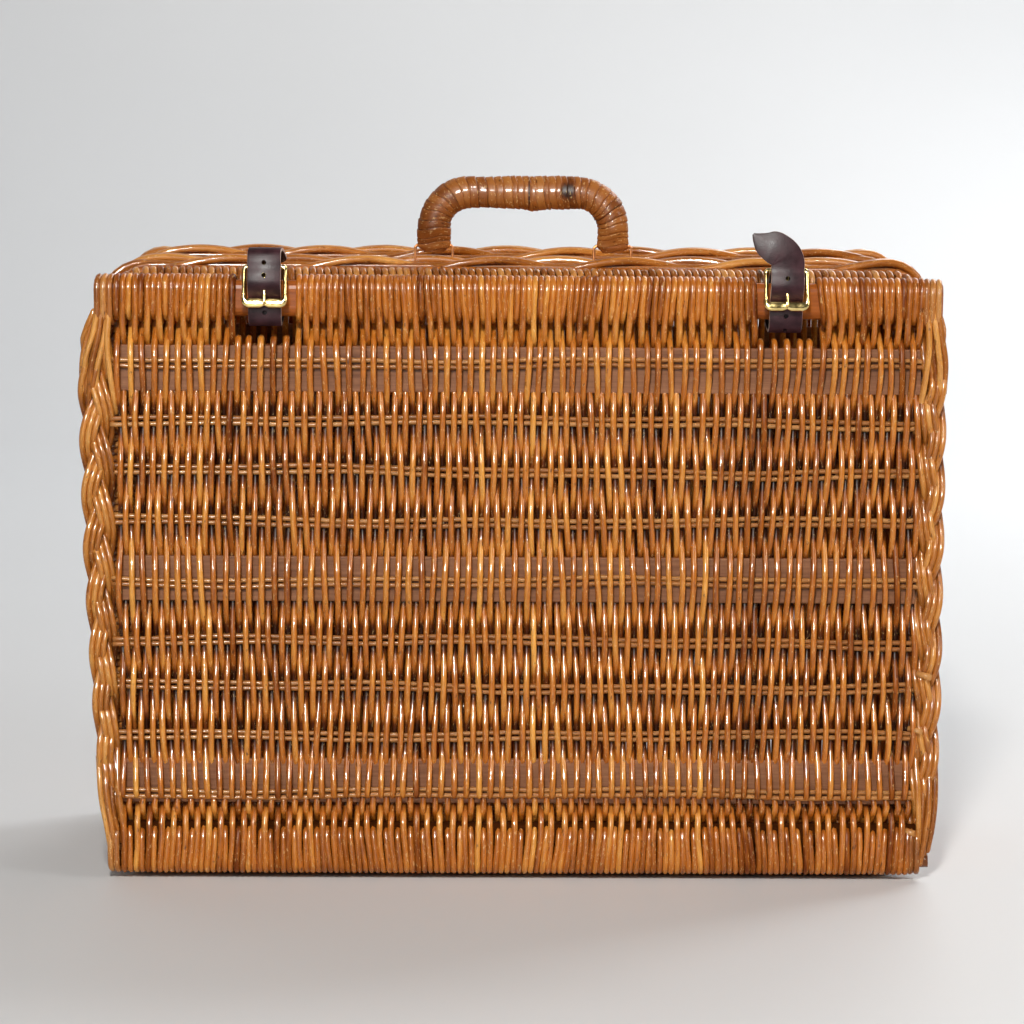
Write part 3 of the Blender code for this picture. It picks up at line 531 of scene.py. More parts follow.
weave_left = weave_low.x - 0.0006
weave_right = weave_high.x + 0.0006
weaver_count = int(round((weave_right - weave_left) / weaver_pitch))
weavers = Rods()
for k in range(weaver_count):
    x = weave_left + (k + 0.5) * (weave_right - weave_left) / weaver_count
    seed = draws.uniform(0, 6.28)
    before = k % 2 == 0
    lift = draws.uniform(-0.0008, 0.0008)
    line = top_end(before, in_slot(x, 0.0195), lift)
    line += weave_line(x, 0 if before else 1, row_heights, lid_planes)
    line += foot_end(not before, draws.uniform(-0.0008, 0.0008))
    radius = weaver_radius * draws.uniform(0.93, 1.05)
    path = at_x(x, line, seed)
    tint = draws.gauss(0.5, 0.17) + 0.10 * math.sin(19 * x + 1.0)
    # Painted shade: each rod is darker where it goes round the top and bottom rolls, to dim the rolls, which the
    # lamps light more than the panel.
    rolls_shade = smooth((np.abs(path[:, 2] - (lid_top + lid_bottom) / 2) - 0.1535) / 0.008)
    tint = min(max(tint, 0), 1) - 0.17 * rolls_shade
    # Painted shade darkens the rods where they pass deep behind the stakes.
    weavers.add(path, radius, X, 7, tint, tips=True, deep=recess_shade(path, lid_middle, row_heights))
weavers.make("lid_weavers", "cane", "lid", "lid_weave", slot="cane")

stakes = Rods()
for i, height in enumerate(row_heights):
    for way in (-1, 1):
        xs = np.linspace(weave_left - 0.004, weave_right + 0.004, 150)
        zs = [height + wander(x, i) + way * 0.0018 + 0.0003 * math.sin(60 * x + i + way) for x in xs]
        ys = np.full(len(xs), lid_planes[i][0])
        radius = stake_radius * draws.uniform(0.95, 1.05)
        stakes.add(np.column_stack((xs, ys, zs)), radius, Y, 7, draws.uniform(0.3, 0.9))
stakes.make("lid_stakes", "stake", "lid", slot="cane")


# ---- The rolls' ends beyond the panel, where only loops go round them

roll_ends = {
    "top": (-0.2565, 0.2550, lid_top - roll_round, lid_top - 0.0230),
    "bottom": (-0.2510, 0.2515, lid_bottom + 0.0230, lid_bottom + roll_round),
}
for name, (left, right, upper, lower) in roll_ends.items():
    loops = Rods()
    places = []
    x = weave_left - weaver_pitch / 2
    while x > left:
        places.append(x)
        x -= weaver_pitch
    x = weave_right + weaver_pitch / 2
    while x < right:
        places.append(x)
        x += weaver_pitch
    for x in places:
        line = []
        for a in np.linspace(0, math.pi, 9):
            line.append((lid_middle + roll_half * math.cos(a), upper + roll_half * math.sin(a)))
        for a in np.linspace(math.pi, 2 * math.pi, 9):
            line.append((lid_middle + roll_half * math.cos(a), lower + roll_half * math.sin(a)))
        edge = smooth((abs(x) - 0.236) / 0.022)
        points = [(x + 0.0009 * (y - lid_middle) / roll_half, y, z) for y, z in line]
        middle = (upper + lower) / 2
        points = [(px, py, middle + (pz - middle) * (1 - 0.05 * edge)) for px, py, pz in points]
        loops.add(points, weaver_radius * draws.uniform(0.93, 1.04), X, 8, closed=True)
    nodes = {
        "top": ("lid_top_wrap_left", "lid_top_wrap_middle", "lid_top_wrap_right"),
        "bottom": (
            "lid_bottom_wrap_left",
            "lid_bottom_wrap_middle_left",
            "lid_bottom_wrap_middle_right",
            "lid_bottom_wrap_right",
        ),
    }[name]
    # The roll ends get the darker roll cane, with its painted shade.
    loops.make(f"lid_{name}_roll_ends", "cane_wrap", "lid", *nodes)


# ---- Plaits


def braid(rods, base, length, waves, spread, lift, count, gap, radius, steps, closed, phase=0.0):
    """Three strands of rods. Base gives a point and the two directions across at a distance along."""
    for strand in range(3):
        for m in range(count):
            offset = (m - (count - 1) / 2) * gap
            own = draws.uniform(0.94, 1.05)
            path, sides, tones_and_shade = [], [], []
            tone = draws.uniform(0.2, 0.9)
            total = steps if closed else steps + 1
            for k in range(total):
                s = length * k / steps
                turn = 2 * math.pi * (waves * s / length + strand / 3) + phase
                wide = spread(s)
                slope = wide * math.cos(turn) * 2 * math.pi * waves / length
                norm = math.hypot(1, slope)
                point, side, out = base(s - offset * slope / norm)
                sag = 0.35 * radius * math.sin(3.1 * turn + m)
                place = point + side * (wide * math.sin(turn) + offset / norm)
                place = place + out * (lift * math.sin(2 * turn) + 0.12 * sag)
                path.append(place)
                sides.append(side)
                # Painted shade: a strand is darker where it dips in under the other strands.
                rise = math.copysign(1, lift) * math.sin(2 * turn)
                tones_and_shade.append(tone + 0.45 * min(0, rise - 0.2))
            rods.add(path, radius * own, np.array(sides), 8, tones_and_shade, closed=closed, tips=not closed)


# Each side plait's heights, with its outer and inner edges there.
side_tables = {
    "left": (
        (0.036, -0.2560, -0.2425),
        (0.060, -0.2590, -0.2440),
        (0.120, -0.2630, -0.2455),
        (0.200, -0.2665, -0.2455),
        (0.300, -0.2685, -0.2455),
        (0.335, -0.2665, -0.2450),
        (0.345, -0.2630, -0.2450),
        (0.352, -0.2600, -0.2460),
    ),
    "right": (
        (0.036, 0.2600, 0.2440),
        (0.060, 0.2625, 0.2440),
        (0.120, 0.2630, 0.2435),
        (0.200, 0.2620, 0.2430),
        (0.300, 0.2610, 0.2430),
        (0.335, 0.2600, 0.2430),
        (0.345, 0.2590, 0.2430),
        (0.352, 0.2570, 0.2440),
    ),
}
for name, table in side_tables.items():
    z, outer, inner = (np.array(column) for column in zip(*table))
    way = -1 if name == "left" else 1
    start, end = z[0], z[-1]

    def base(s, z=z, outer=outer, inner=inner, start=start):
        height = start + s
        middle = (np.interp(height, z, outer) + np.interp(height, z, inner)) / 2
        return np.array((middle, lid_middle, height)), X, -Y

    def spread(s, z=z, outer=outer, inner=inner, start=start):
        half = abs(np.interp(start + s, z, outer) - np.interp(start + s, z, inner)) / 2
        return half - 0.0055

    plait = Rods()
    braid(plait, base, end - start, 3.15, spread, way * 0.0040, 3, 0.0035, 0.0019, 132, False, 0.6)
    plait.make(f"side_plait_{name}", "cane_plait", "lid", f"lid_plait_{name}")


# The rods that tie the plaits to the rolls' ends, as places, depths in front of the lid's middle and heights.
corner_rods = {
    "top_left": (
        ((-0.2545, 0.0065, 0.3560), (-0.2572, 0.0066, 0.3400), (-0.2622, 0.0052, 0.3240), (-0.2645, 0.0000, 0.3040)),
        ((-0.2515, 0.0060, 0.3560), (-0.2545, 0.0076, 0.3370), (-0.2590, 0.0066, 0.3190), (-0.2618, 0.0000, 0.2950)),
        ((-0.2475, 0.0060, 0.3560), (-0.2490, 0.0078, 0.3350), (-0.2476, 0.0068, 0.3150), (-0.2455, -0.002, 0.2900)),
        ((-0.2548, 0.0030, 0.3520), (-0.2604, 0.0030, 0.3400), (-0.2648, 0.0010, 0.3220), (-0.2655, -0.002, 0.3020)),
        ((-0.2490, 0.0050, 0.3540), (-0.2520, 0.0050, 0.3330), (-0.2562, 0.0036, 0.3160), (-0.2570, -0.002, 0.2960)),
    ),
    "top_right": (
        ((0.2530, 0.0065, 0.3560), (0.2556, 0.0066, 0.3400), (0.2584, 0.0052, 0.3240), (0.2588, 0.0000, 0.3050)),
        ((0.2500, 0.0060, 0.3560), (0.2528, 0.0076, 0.3370), (0.2552, 0.0066, 0.3190), (0.2560, 0.0000, 0.2960)),
        ((0.2470, 0.0060, 0.3560), (0.2480, 0.0076, 0.3340), (0.2462, 0.0066, 0.3140), (0.2442, -0.002, 0.2900)),
        ((0.2480, 0.0050, 0.3540), (0.2505, 0.0050, 0.3320), (0.2530, 0.0036, 0.3160), (0.2540, -0.002, 0.2960)),
    ),
    "bottom_left": (
        ((-0.2588, -0.001, 0.0760), (-0.2567, 0.0056, 0.0520), (-0.2530, 0.0066, 0.0320), (-0.2500, 0.0040, 0.0080)),
        ((-0.2553, -0.001, 0.0780), (-0.2532, 0.0068, 0.0540), (-0.2502, 0.0084, 0.0340), (-0.2478, 0.0050, 0.0160)),
        ((-0.2472, -0.002, 0.0840), (-0.2460, 0.0064, 0.0580), (-0.2440, 0.0074, 0.0420), (-0.2425, 0.0040, 0.0260)),
        ((-0.2510, -0.001, 0.0720), (-0.2500, 0.0050, 0.0500), (-0.2480, 0.0060, 0.0370), (-0.2455, 0.0040, 0.0240)),
    ),
    "bottom_right": (
        ((0.2602, -0.001, 0.0800), (0.2600, 0.0056, 0.0540), (0.2586, 0.0064, 0.0350), (0.2566, 0.0030, 0.0190)),
        ((0.2568, -0.001, 0.0780), (0.2562, 0.0068, 0.0520), (0.2545, 0.0084, 0.0320), (0.2518, 0.0050, 0.0110)),
        ((0.2478, -0.002, 0.0840), (0.2488, 0.0068, 0.0580), (0.2500, 0.0080, 0.0380), (0.2506, 0.0050, 0.0190)),
        ((0.2535, -0.001, 0.0720), (0.2527, 0.0056, 0.0480), (0.2522, 0.0064, 0.0310), (0.2545, 0.0030, 0.0170)),
    ),
}
corners = Rods()
for rods_here in corner_rods.values():
    for stops in rods_here:
        line = [(x, lid_middle - depth, z) for x, depth, z in stops]
        corners.add(through(line, 5), 0.0019 * draws.uniform(0.94, 1.06), X, 8, tips=True)
corners.make("lid_corner_rods", "cane_plait", "lid")

# Cut ends of rods that stick out of the right side plait, pale where they are cut.
stub_ends = ((0.2545, 0.0072, 0.1300, 0.0021), (0.2500, 0.0068, 0.0955, 0.0018), (0.2475, 0.0072, 0.0310, 0.0020))
stubs = Rods()
for x, depth, z, radius in stub_ends:
    line = [(x - 0.007, lid_middle - depth + 0.005, z + 0.001), (x, lid_middle - depth - 0.001, z)]
    stubs.add(line, radius, Z, 10, 0.95)
stubs.make("lid_cut_ends", "stake", "lid", slot="cane")

# The rails' sawn ends at the lower right corner.
sawn = Rods()
for z, reach, radius in ((0.0115, 0.2572, 0.0042), (0.0245, 0.2560, 0.0036)):
    sawn.add([(0.2440, lid_middle, z), (reach, lid_middle - 0.0012, z + 0.0006)], radius, Z, 12, 0.15)
sawn.make("lid_sawn_ends", "cane_dark", "lid", slot="cane_dark")


# ---- The body: outline of a rounded case, run by distance

case_low, case_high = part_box("rim_plait")
case_round = 0.030


def outline(inset):
    """Points round the case and the distance run to each, at a distance in from its side."""
    half = case_high.x - inset
    low, high = case_low.z + inset, case_high.z - inset
    radius = case_round - inset
    corners = (
        (half - radius, low + radius, -90),
        (half - radius, high - radius, 0),
        (radius - half, high - radius, 90),
        (radius - half, low + radius, 180),
    )
    points = []
    for x, z, start in corners:
        for k in range(13):
            a = math.radians(start + 90 * k / 12)
            points.append((x + radius * math.cos(a), z + radius * math.sin(a)))
    points = np.array(points)
    closed = np.vstack((points, points[:1]))
    steps = np.linalg.norm(np.diff(closed, axis=0), axis=1)
    return closed, np.concatenate(((0,), np.cumsum(steps)))


def ring_base(inset):
    """A function that gives the place and the outward way at a distance along the outline."""
    closed, run = outline(inset)
    length = run[-1]

    def place(s):
        s = np.asarray(s, float) % length
        return np.stack((np.interp(s, run, closed[:, 0]), np.interp(s, run, closed[:, 1])), -1)

    def base(s):
        at = place(s)
        ahead = place(np.asarray(s) + 0.0015) - place(np.asarray(s) - 0.0015)
        ahead = unit(ahead)
        return at, np.stack((ahead[..., 1], -ahead[..., 0]), -1)

    return base, length


# The rim's roll: loops of cane round a hoop.
rim_width = 0.017
rim_low, rim_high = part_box("rim_wrap")
rim_base, rim_length = ring_base(rim_low.z + (rim_width / 2))
rim_middle = (rim_low.y + rim_high.y) / 2
rim_half_depth = (rim_high.y - rim_low.y) / 2 - 0.0021
rim_half_height = rim_width / 2 - 0.0019
hinge_places = [sum(c.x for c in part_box(f"hinge_loop_{n}")) / 2 for n in ("left", "middle", "right")]
rim_roll = Rods()
loop_pitch = 0.0044
loop_count = int(rim_length / loop_pitch)
turns = np.linspace(0, 2 * math.pi, 18, endpoint=False)
for k in range(loop_count):
    s = rim_length * k / loop_count
    at, out = rim_base(s)
    if at[1] < 0.03 and any(abs(at[0] - x) < 0.0042 for x in hinge_places):
        continue
    path = []
    for a in turns:
        u = math.copysign(abs(math.cos(a)) ** 0.8, math.cos(a))
        v = math.copysign(abs(math.sin(a)) ** 0.8, math.sin(a))
        lean, _ = rim_base(s + 0.0012 * math.cos(a))
        grow = 1 + 0.03 * math.sin(k * 2.1)
        place = lean + out * rim_half_height * grow * v
        path.append((place[0], rim_middle + rim_half_depth * u, place[1]))
    along = np.array((out[1], 0, -out[0]))
    rim_roll.add(path, 0.00215 * draws.uniform(0.93, 1.05), along, 7, closed=True)
hoop_points, _ = rim_base(np.linspace(0, rim_length, 160, endpoint=False))
hoop = np.column_stack((hoop_points[:, 0], np.full(160, rim_middle), hoop_points[:, 1]))
rim_roll.add(hoop, 0.0044, Y, 10, 0.2, closed=True)
# The rim roll gets the darker roll cane, with its painted shade.
rim_roll.make(
    "rim_roll", "cane_wrap", "basket", "rim_wrap", "rim_wrap_bottom_left", "rim_wrap_bottom_right", "rim_hoop"
)

# The plaits round the rim and round the base.
braid_inset = 0.0068
for name, node_name, phase in (("rim_braid", "rim_plait", 0.0), ("base_braid", "base_plait", 1.3)):
    low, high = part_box(node_name)
    middle = (low.y + high.y) / 2
    ring, ring_length = ring_base(braid_inset)

    def base(s, ring=ring, middle=middle):
        at, out = ring(s)
        return np.array((at[0], middle, at[1])), Y, np.array((out[0], 0, out[1]))

    def spread(s):
        return 0.0072

    rods = Rods()
    braid(rods, base, ring_length, 7, spread, 0.0042, 3, 0.0043, 0.00235, 7 * 48, True, phase)
    core, _ = ring(np.linspace(0, ring_length, 240, endpoint=False))
    core = np.column_stack((core[:, 0], np.full(240, middle), core[:, 1]))
    rods.add(core, 0.0105, Y, 8, 0.15, closed=True, flat=0.26)
    rods.make(name, "cane_plait", "basket", node_name)

# The walls: rods run round the case, before and behind upright pairs.
wall_low, wall_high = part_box("body_walls")
wall_base, wall_length = ring_base(wall_low.z + 0.0045)
post_count = 58
weft_count = 26
weft_radius = 0.00155
post_radius = 0.0017
walls = Rods()
for row in range(weft_count):
    y = wall_low.y + (row + 0.5) * (wall_high.y - wall_low.y) / weft_count
    steps = post_count * 5
    path = []
    for k in range(steps):
        s = wall_length * k / steps
        at, out = wall_base(s)
        sway = math.cos(math.pi * (post_count * s / wall_length) + math.pi * row)
        sway = math.copysign(abs(sway) ** 0.75, sway) * (weft_radius + post_radius - 0.0002)
        place = at + out * sway
        path.append((place[0], y + 0.0003 * math.sin(40 * s + row), place[1]))
    walls.add(path, weft_radius * draws.uniform(0.95, 1.08), Y, 6, closed=True)
for k in range(post_count):
    at, out = wall_base(wall_length * k / post_count)
    along = np.array((out[1], 0, -out[0]))
    for way in (-1, 1):
        spot = np.array((at[0], 0, at[1])) + along * way * 0.0019
        ends = [spot + Y * (wall_low.y - 0.006), spot + Y * (wall_high.y + 0.006)]
        walls.add(ends, post_radius, along, 7, 0.5)
for seam_y, inset in ((rim_high.y, 0.0100), (wall_low.y, 0.0120), (wall_high.y, 0.0120)):
    ring, ring_length = ring_base(inset)
    spots, _ = ring(np.linspace(0, ring_length, 240, endpoint=False))
    path = np.column_stack((spots[:, 0], np.full(240, seam_y), spots[:, 1]))
    walls.add(path, 0.0036, Y, 8, 0.2, closed=True)
walls.make("woven_walls", "cane", "basket", "body_walls")

# The base panel.
base_low, base_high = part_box("base_weave")
base_slats = {0: "base_slat_top", 4: "base_slat_middle", 8: "base_slat_bottom"}
slat_places = [sum(c.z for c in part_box(base_slats[i])) / 2 for i in (0, 4, 8)]
base_rows = []
for a, b in zip(slat_places, slat_places[1:]):
    base_rows += [a + (b - a) * j / 4 for j in range(4)]
base_rows.append(slat_places[-1])
base_middle = (base_low.y + base_high.y) / 2
base_planes = row_planes(base_rows, base_slats, base_middle, 1, 0.0018, 0.0013)
base_round = 0.014
panel_pitch = 0.0035
panel = Rods()
panel_count = int((base_high.x - base_low.x) / panel_pitch)
for k in range(panel_count):
    x = base_low.x + (k + 0.5) * (base_high.x - base_low.x) / panel_count
    line = weave_line(x, k % 2, base_rows, base_planes, 6)
    corner = max(0.0, abs(x) - (base_high.x - base_round))
    cut = base_round - math.sqrt(max(0.0, base_round**2 - corner**2))
    ends = (base_high.z - cut, base_low.z + cut)
    between = (line[0][1] + ends[0]) / 2
    line = [(base_middle, ends[0] + 0.004), (base_middle, ends[0]), (line[0][0], between)] + line
    line += [(line[-1][0], (line[-1][1] + ends[1]) / 2), (base_middle, ends[1]), (base_middle, ends[1] - 0.004)]
    seed = draws.uniform(0, 6.28)
    points = np.array([(x + 0.0003 * math.sin(40 * z + seed), y, z) for y, z in line])
    tint = draws.uniform(0.25, 0.85)
    # Painted shade darkens the panel's rods where they pass deep behind the stakes.
    deep = recess_shade(points, base_middle, base_rows)
    panel.add(points, 0.00225 * draws.uniform(0.97, 1.03), X, 7, tint, deep=deep)
for i, height in enumerate(base_rows):
    for way in (-1, 1):
        xs = np.linspace(base_low.x - 0.004, base_high.x + 0.004, 60)
        zs = [height + wander(x, i) + way * 0.0016 for x in xs]
        panel.add(np.column_stack((xs, np.full(60, base_planes[i][0]), zs)), 0.0013, Y, 6, 0.6)
for inset, forward in ((0.0140, 0.0), (0.0178, -0.0030), (0.0182, 0.0022)):
    border, border_length = ring_base(inset)
    spots, _ = border(np.linspace(0, border_length, 240, endpoint=False))
    path = np.column_stack((spots[:, 0], np.full(240, base_middle + forward), spots[:, 1]))
    panel.add(path, 0.0028, Y, 8, 0.4, closed=True)
panel.make("base_panel", "cane", "basket", "base_weave")


# ---- The handle: a bent rod wound with a flat strip of cane

grip_low, grip_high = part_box("handle_wrap")
handle_x = 0.0025
handle_span = 0.0553
handle_radius = 0.0100
handle_bend = 0.022
handle_y = (grip_low.y + grip_high.y) / 2
bend_height = grip_high.z - 0.0103 - handle_bend
half_path = [(-handle_span, grip_low.z), (-handle_span, bend_height)]
for k in range(1, 13):
    a = math.pi - math.pi / 2 * k / 12
    half_path.append((handle_bend - handle_span + handle_bend * math.cos(a), bend_height + handle_bend * math.sin(a)))
half_path = half_path + [(-x, z) for x, z in reversed(half_path)]
handle_line = np.array([(handle_x + x, handle_y, z) for x, z in half_path])
handle_run = np.concatenate(((0,), np.cumsum(np.linalg.norm(np.diff(handle_line, axis=0), axis=1))))
handle_length = handle_run[-1]
ring_count, ring_sides = 420, 48
winding = Rods()
s = np.linspace(0, handle_length, ring_count)
middle = np.column_stack([np.interp(s, handle_run, handle_line[:, c]) for c in range(3)])
kernel = np.ones(15) / 15
for c in (0, 2):
    padded = np.concatenate((np.full(7, middle[0, c]), middle[:, c], np.full(7, middle[-1, c])))
    rounded = np.convolve(padded, kernel, "valid")
    keep = smooth(np.minimum(s, handle_length - s) / 0.02)
    middle[:, c] = middle[:, c] * (1 - keep) + rounded * keep
winding.add(middle, handle_radius, Y, ring_sides, 0.5)
points = winding.points[0].reshape(ring_count, ring_sides, 3)
turn = 2 * np.pi * np.arange(ring_sides)[None, :] / ring_sides
spare = 0.004
edges = [-spare]
while edges[-1] < handle_length + spare:
    edges.append(edges[-1] + draws.uniform(0.0026, 0.0058))
edges = np.array(edges)
along = s[:, None] + 0.0012 * np.sin(turn) + 0.0005 * np.sin(3 * turn + 40 * s[:, None])
bands = np.clip(np.searchsorted(edges, along) - 1, 0, len(edges) - 2)
share = (along - edges[bands]) / (edges[bands + 1] - edges[bands])
rise = np.array([draws.uniform(-0.00018, 0.00018) for _ in edges])
domed = np.minimum(share, 1 - share) * 2
relief = 0.00050 * smooth(domed / 0.25) + 0.00040 * share + rise[bands]
knot = handle_length / 2 + 0.0063
near_knot = np.exp(-(((s[:, None] - knot) / 0.0055) ** 2))
below = np.clip(-np.sin(turn), 0, 1)
relief = relief + 0.0016 * near_knot * below
relief = relief + 0.0003 * np.sin(70 * s[:, None] + 1) + 0.0002 * np.sin(190 * s[:, None])
leg = np.minimum(s, handle_length - s)[:, None]
thin = 0.42 + 0.58 * smooth((leg - 0.003) / 0.014)
foot = 0.62 + 0.38 * smooth(leg / 0.004)
size = (handle_radius - 0.0007 + relief) * foot
scaled = (points - middle[:, None, :]) / handle_radius * size[..., None]
scaled[..., 1] *= thin
winding.points[0] = (middle[:, None, :] + scaled).reshape(-1, 3)
shades = np.array([draws.uniform(0.15, 0.95) for _ in edges])
in_front = np.clip(-np.cos(turn), 0, 1)
# Painted shadow: a thin dark line where the strip is split.
slit_shadow = np.exp(-(((s[:, None] - knot + 0.0032) / 0.0007) ** 2)) * in_front
patch = (1 - smooth(np.abs(s[:, None] - knot - 0.0195) / 0.0075)) * in_front
patch = patch * (1 - smooth(np.abs(np.sin(turn) - 0.15) / 0.9))
# Painted shade: each band is darker at its edges, in the groove where it meets the next.
seam_shade = 1 - smooth(domed / 0.16)
winding.tints[0] = (shades[bands] - 2.0 * slit_shadow - 1.3 * patch - 0.8 * seam_shade).ravel()
grain = winding.grains[0].reshape(ring_count, ring_sides, 3)
grain[..., 0] = turn * handle_radius + bands * 0.37
grain[..., 1] = along
grain[..., 2] = bands * 0.011
winding.grains[0] = grain.reshape(-1, 3)
winding.make("handle_winding", "handle_cane", "handle", "handle_wrap", slot="handle_cane")


# ---- Straps: dark leather with pale cut edges and punched holes

front_y = roll_low.y
strap_back = (
    (0.0920, -0.0091),
    (0.0720, -0.0091),
    (0.0620, -0.0108),
    (0.0400, -0.0200),
)
strap_dips = {
    "left": (
        (0.0200, -0.0277),
        (0.0120, -0.0297),
        (0.0065, -0.0300),
        (0.0028, -0.0296),
        (0.0000, -0.0272),
        (-0.0010, -0.0236),
    ),
    "right": (
        (0.0200, -0.0296),
        (0.0120, -0.0320),
        (0.0065, -0.0323),
        (0.0030, -0.0310),
        (0.0004, -0.0282),
        (-0.0009, -0.0240),
    ),
}
strap_front = (
    (-0.0017, -0.0165),
    (-0.0023, -0.0132),
    (-0.0058, -0.0082),
    (-0.0077, -0.0046),
    (-0.0072, 0.0002),
    (-0.0058, 0.0050),
)
strap_tails = {
    "left": (
        (0.0000, -0.0052, 0.0095, 0, 1.0),
        (0.0000, -0.0034, 0.0133, 0, 1.0),
        (0.0004, 0.0006, 0.0152, 0, 1.0),
        (0.0010, 0.0066, 0.0147, 0, 1.0),
        (0.0018, 0.0133, 0.0116, 0, 1.0),
        (0.0026, 0.0193, 0.0083, 0, 0.95),
        (0.0030, 0.0233, 0.0061, 0, 0.45),
    ),
    "right": (
        (0.0000, -0.0058, 0.0100, 0, 1.0),
        (-0.0024, -0.0060, 0.0148, 18, 1.0),
        (-0.0080, -0.0056, 0.0186, 37, 1.0),
        (-0.0139, -0.0046, 0.0211, 46, 0.78),
        (-0.0183, -0.0037, 0.0242, 44, 0.38),
        (-0.0208, -0.0030, 0.0266, 42, 0.08),
    ),
}
strap_half = 0.0100
strap_thick = 0.0022
prong_place = 12
hole_steps = {"left": (-2, -1, 1, 2), "right": (-3, -2, -1, 1)}
hole_pitch = 0.0082


def strap_section(half, thick):
    """A flat section with small round edges. The cut edges among its sides are listed in edge_sides below."""
    r = thick * 0.32
    h = thick / 2
    return [
        (-half + r, -h),
        (0, -h),
        (half - r, -h),
        (half - r * 0.3, -h + r * 0.3),
        (half, -h + r),
        (half, h - r),
        (half - r * 0.3, h - r * 0.3),
        (half - r, h),
        (0, h),
        (-half + r, h),
        (-half + r * 0.3, h - r * 0.3),
        (-half, h - r),
        (-half, -h + r),
        (-half + r * 0.3, -h + r * 0.3),
    ]


edge_sides = (3, 4, 5, 10, 11, 12)


def sweep_flat(name, path, across, shares, half, thick):
    """A strip along a path. Its cut edges have the second material."""
    tangent = unit(np.vstack((path[1:], path[-1:])) - np.vstack((path[:1], path[:-1])))
    across = unit(across - tangent * (across * tangent).sum(1, keepdims=True))
    out = np.cross(tangent, across)
    points, faces, kinds = [], [], []
    for i in range(len(path)):
        for u, v in strap_section(half * shares[i], thick):
            points.append(path[i] + across[i] * u + out[i] * v)
    size = 14
    for i in range(len(path) - 1):
        for k in range(size):
            m = (k + 1) % size
            faces.append((i * size + k, i * size + m, (i + 1) * size + m, (i + 1) * size + k))
            kinds.append(1 if k in edge_sides else 0)
    faces.append(tuple(range(size))[::-1])
    faces.append(tuple((len(path) - 1) * size + k for k in range(size)))
    kinds += [1, 1]
    mesh = bpy.data.meshes.new(name)
    mesh.from_pydata([tuple(p) for p in points], [], faces)
    for surface in ("leather", "leather_edge"):
        mesh.materials.append(surfaces[surface])
    for face, kind in zip(mesh.polygons, kinds):
        face.material_index = kind
        face.use_smooth = True
    mesh.update()
    piece = bpy.data.objects.new(name, mesh)
    bpy.context.scene.collection.objects.link(piece)
    return piece


def punch(piece, holes):
    """Cuts round holes through a strip, each from its place, its direction and its radius."""
    for place, way, radius in holes:
        rod = Rods()
        rod.add([place - way, place + way], radius, np.cross(way, (0.31, 0.74, 0.59)), 20)
        points = np.concatenate(rod.points)
        faces = [tuple(q) for q in np.concatenate(rod.quads)] + [tuple(c) for c in rod.caps]
        mesh = bpy.data.meshes.new("hole")
        mesh.from_pydata([tuple(p) for p in points], [], faces)
        mesh.materials.append(surfaces["leather"])
        cutter = bpy.data.objects.new("hole", mesh)
        bpy.context.scene.collection.objects.link(cutter)
        step = piece.modifiers.new("hole", "BOOLEAN")
        step.operation = "DIFFERENCE"
        step.solver = "EXACT"
        step.object = cutter
        bpy.context.view_layer.update()
        graph = bpy.context.evaluated_depsgraph_get()
        cut = bpy.data.meshes.new_from_object(piece.evaluated_get(graph))
        piece.modifiers.clear()
        old = piece.data
        piece.data = cut
        bpy.data.meshes.remove(old)
        bpy.data.objects.remove(cutter)


for side, x in strap_x.items():
    held = strap_back + strap_dips[side] + strap_front
    path = [(x, front_y + d, lid_top + rise) for d, rise in held]
    across = [X] * len(path)
    shares = [1.0] * len(path)
    for shift, d, rise, tilt, share in strap_tails[side]:
        path.append((x + shift, front_y + d, lid_top + rise))
        a = math.radians(tilt)
        across.append(np.array((math.cos(a), 0, math.sin(a))))
        shares.append(share)
    steps = 5
    fine = through(path, steps)
    ways = through(across, steps)
    sizes = through([(s, 0, 0) for s in shares], steps)[:, 0]
    sizes = np.minimum(sizes, 1.0)
    strap = sweep_flat(f"leather_strap_{side}", fine, ways, sizes, strap_half, strap_thick)
    run = np.concatenate(((0,), np.cumsum(np.linalg.norm(np.diff(fine, axis=0), axis=1))))
    prong_run = run[prong_place * steps]
    holes = []
    for step in hole_steps[side]:
        target = prong_run + step * hole_pitch
        k = int(np.searchsorted(run, target))
        way = unit(np.cross(fine[k] - fine[k - 1], ways[k]))
        holes.append((fine[k], way * 0.004, 0.00145))
    punch(strap, holes)
    strap.data.set_sharp_from_angle(angle=math.radians(40))
    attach(strap, "basket")
    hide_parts(f"strap_{side}")


# ---- Buckles

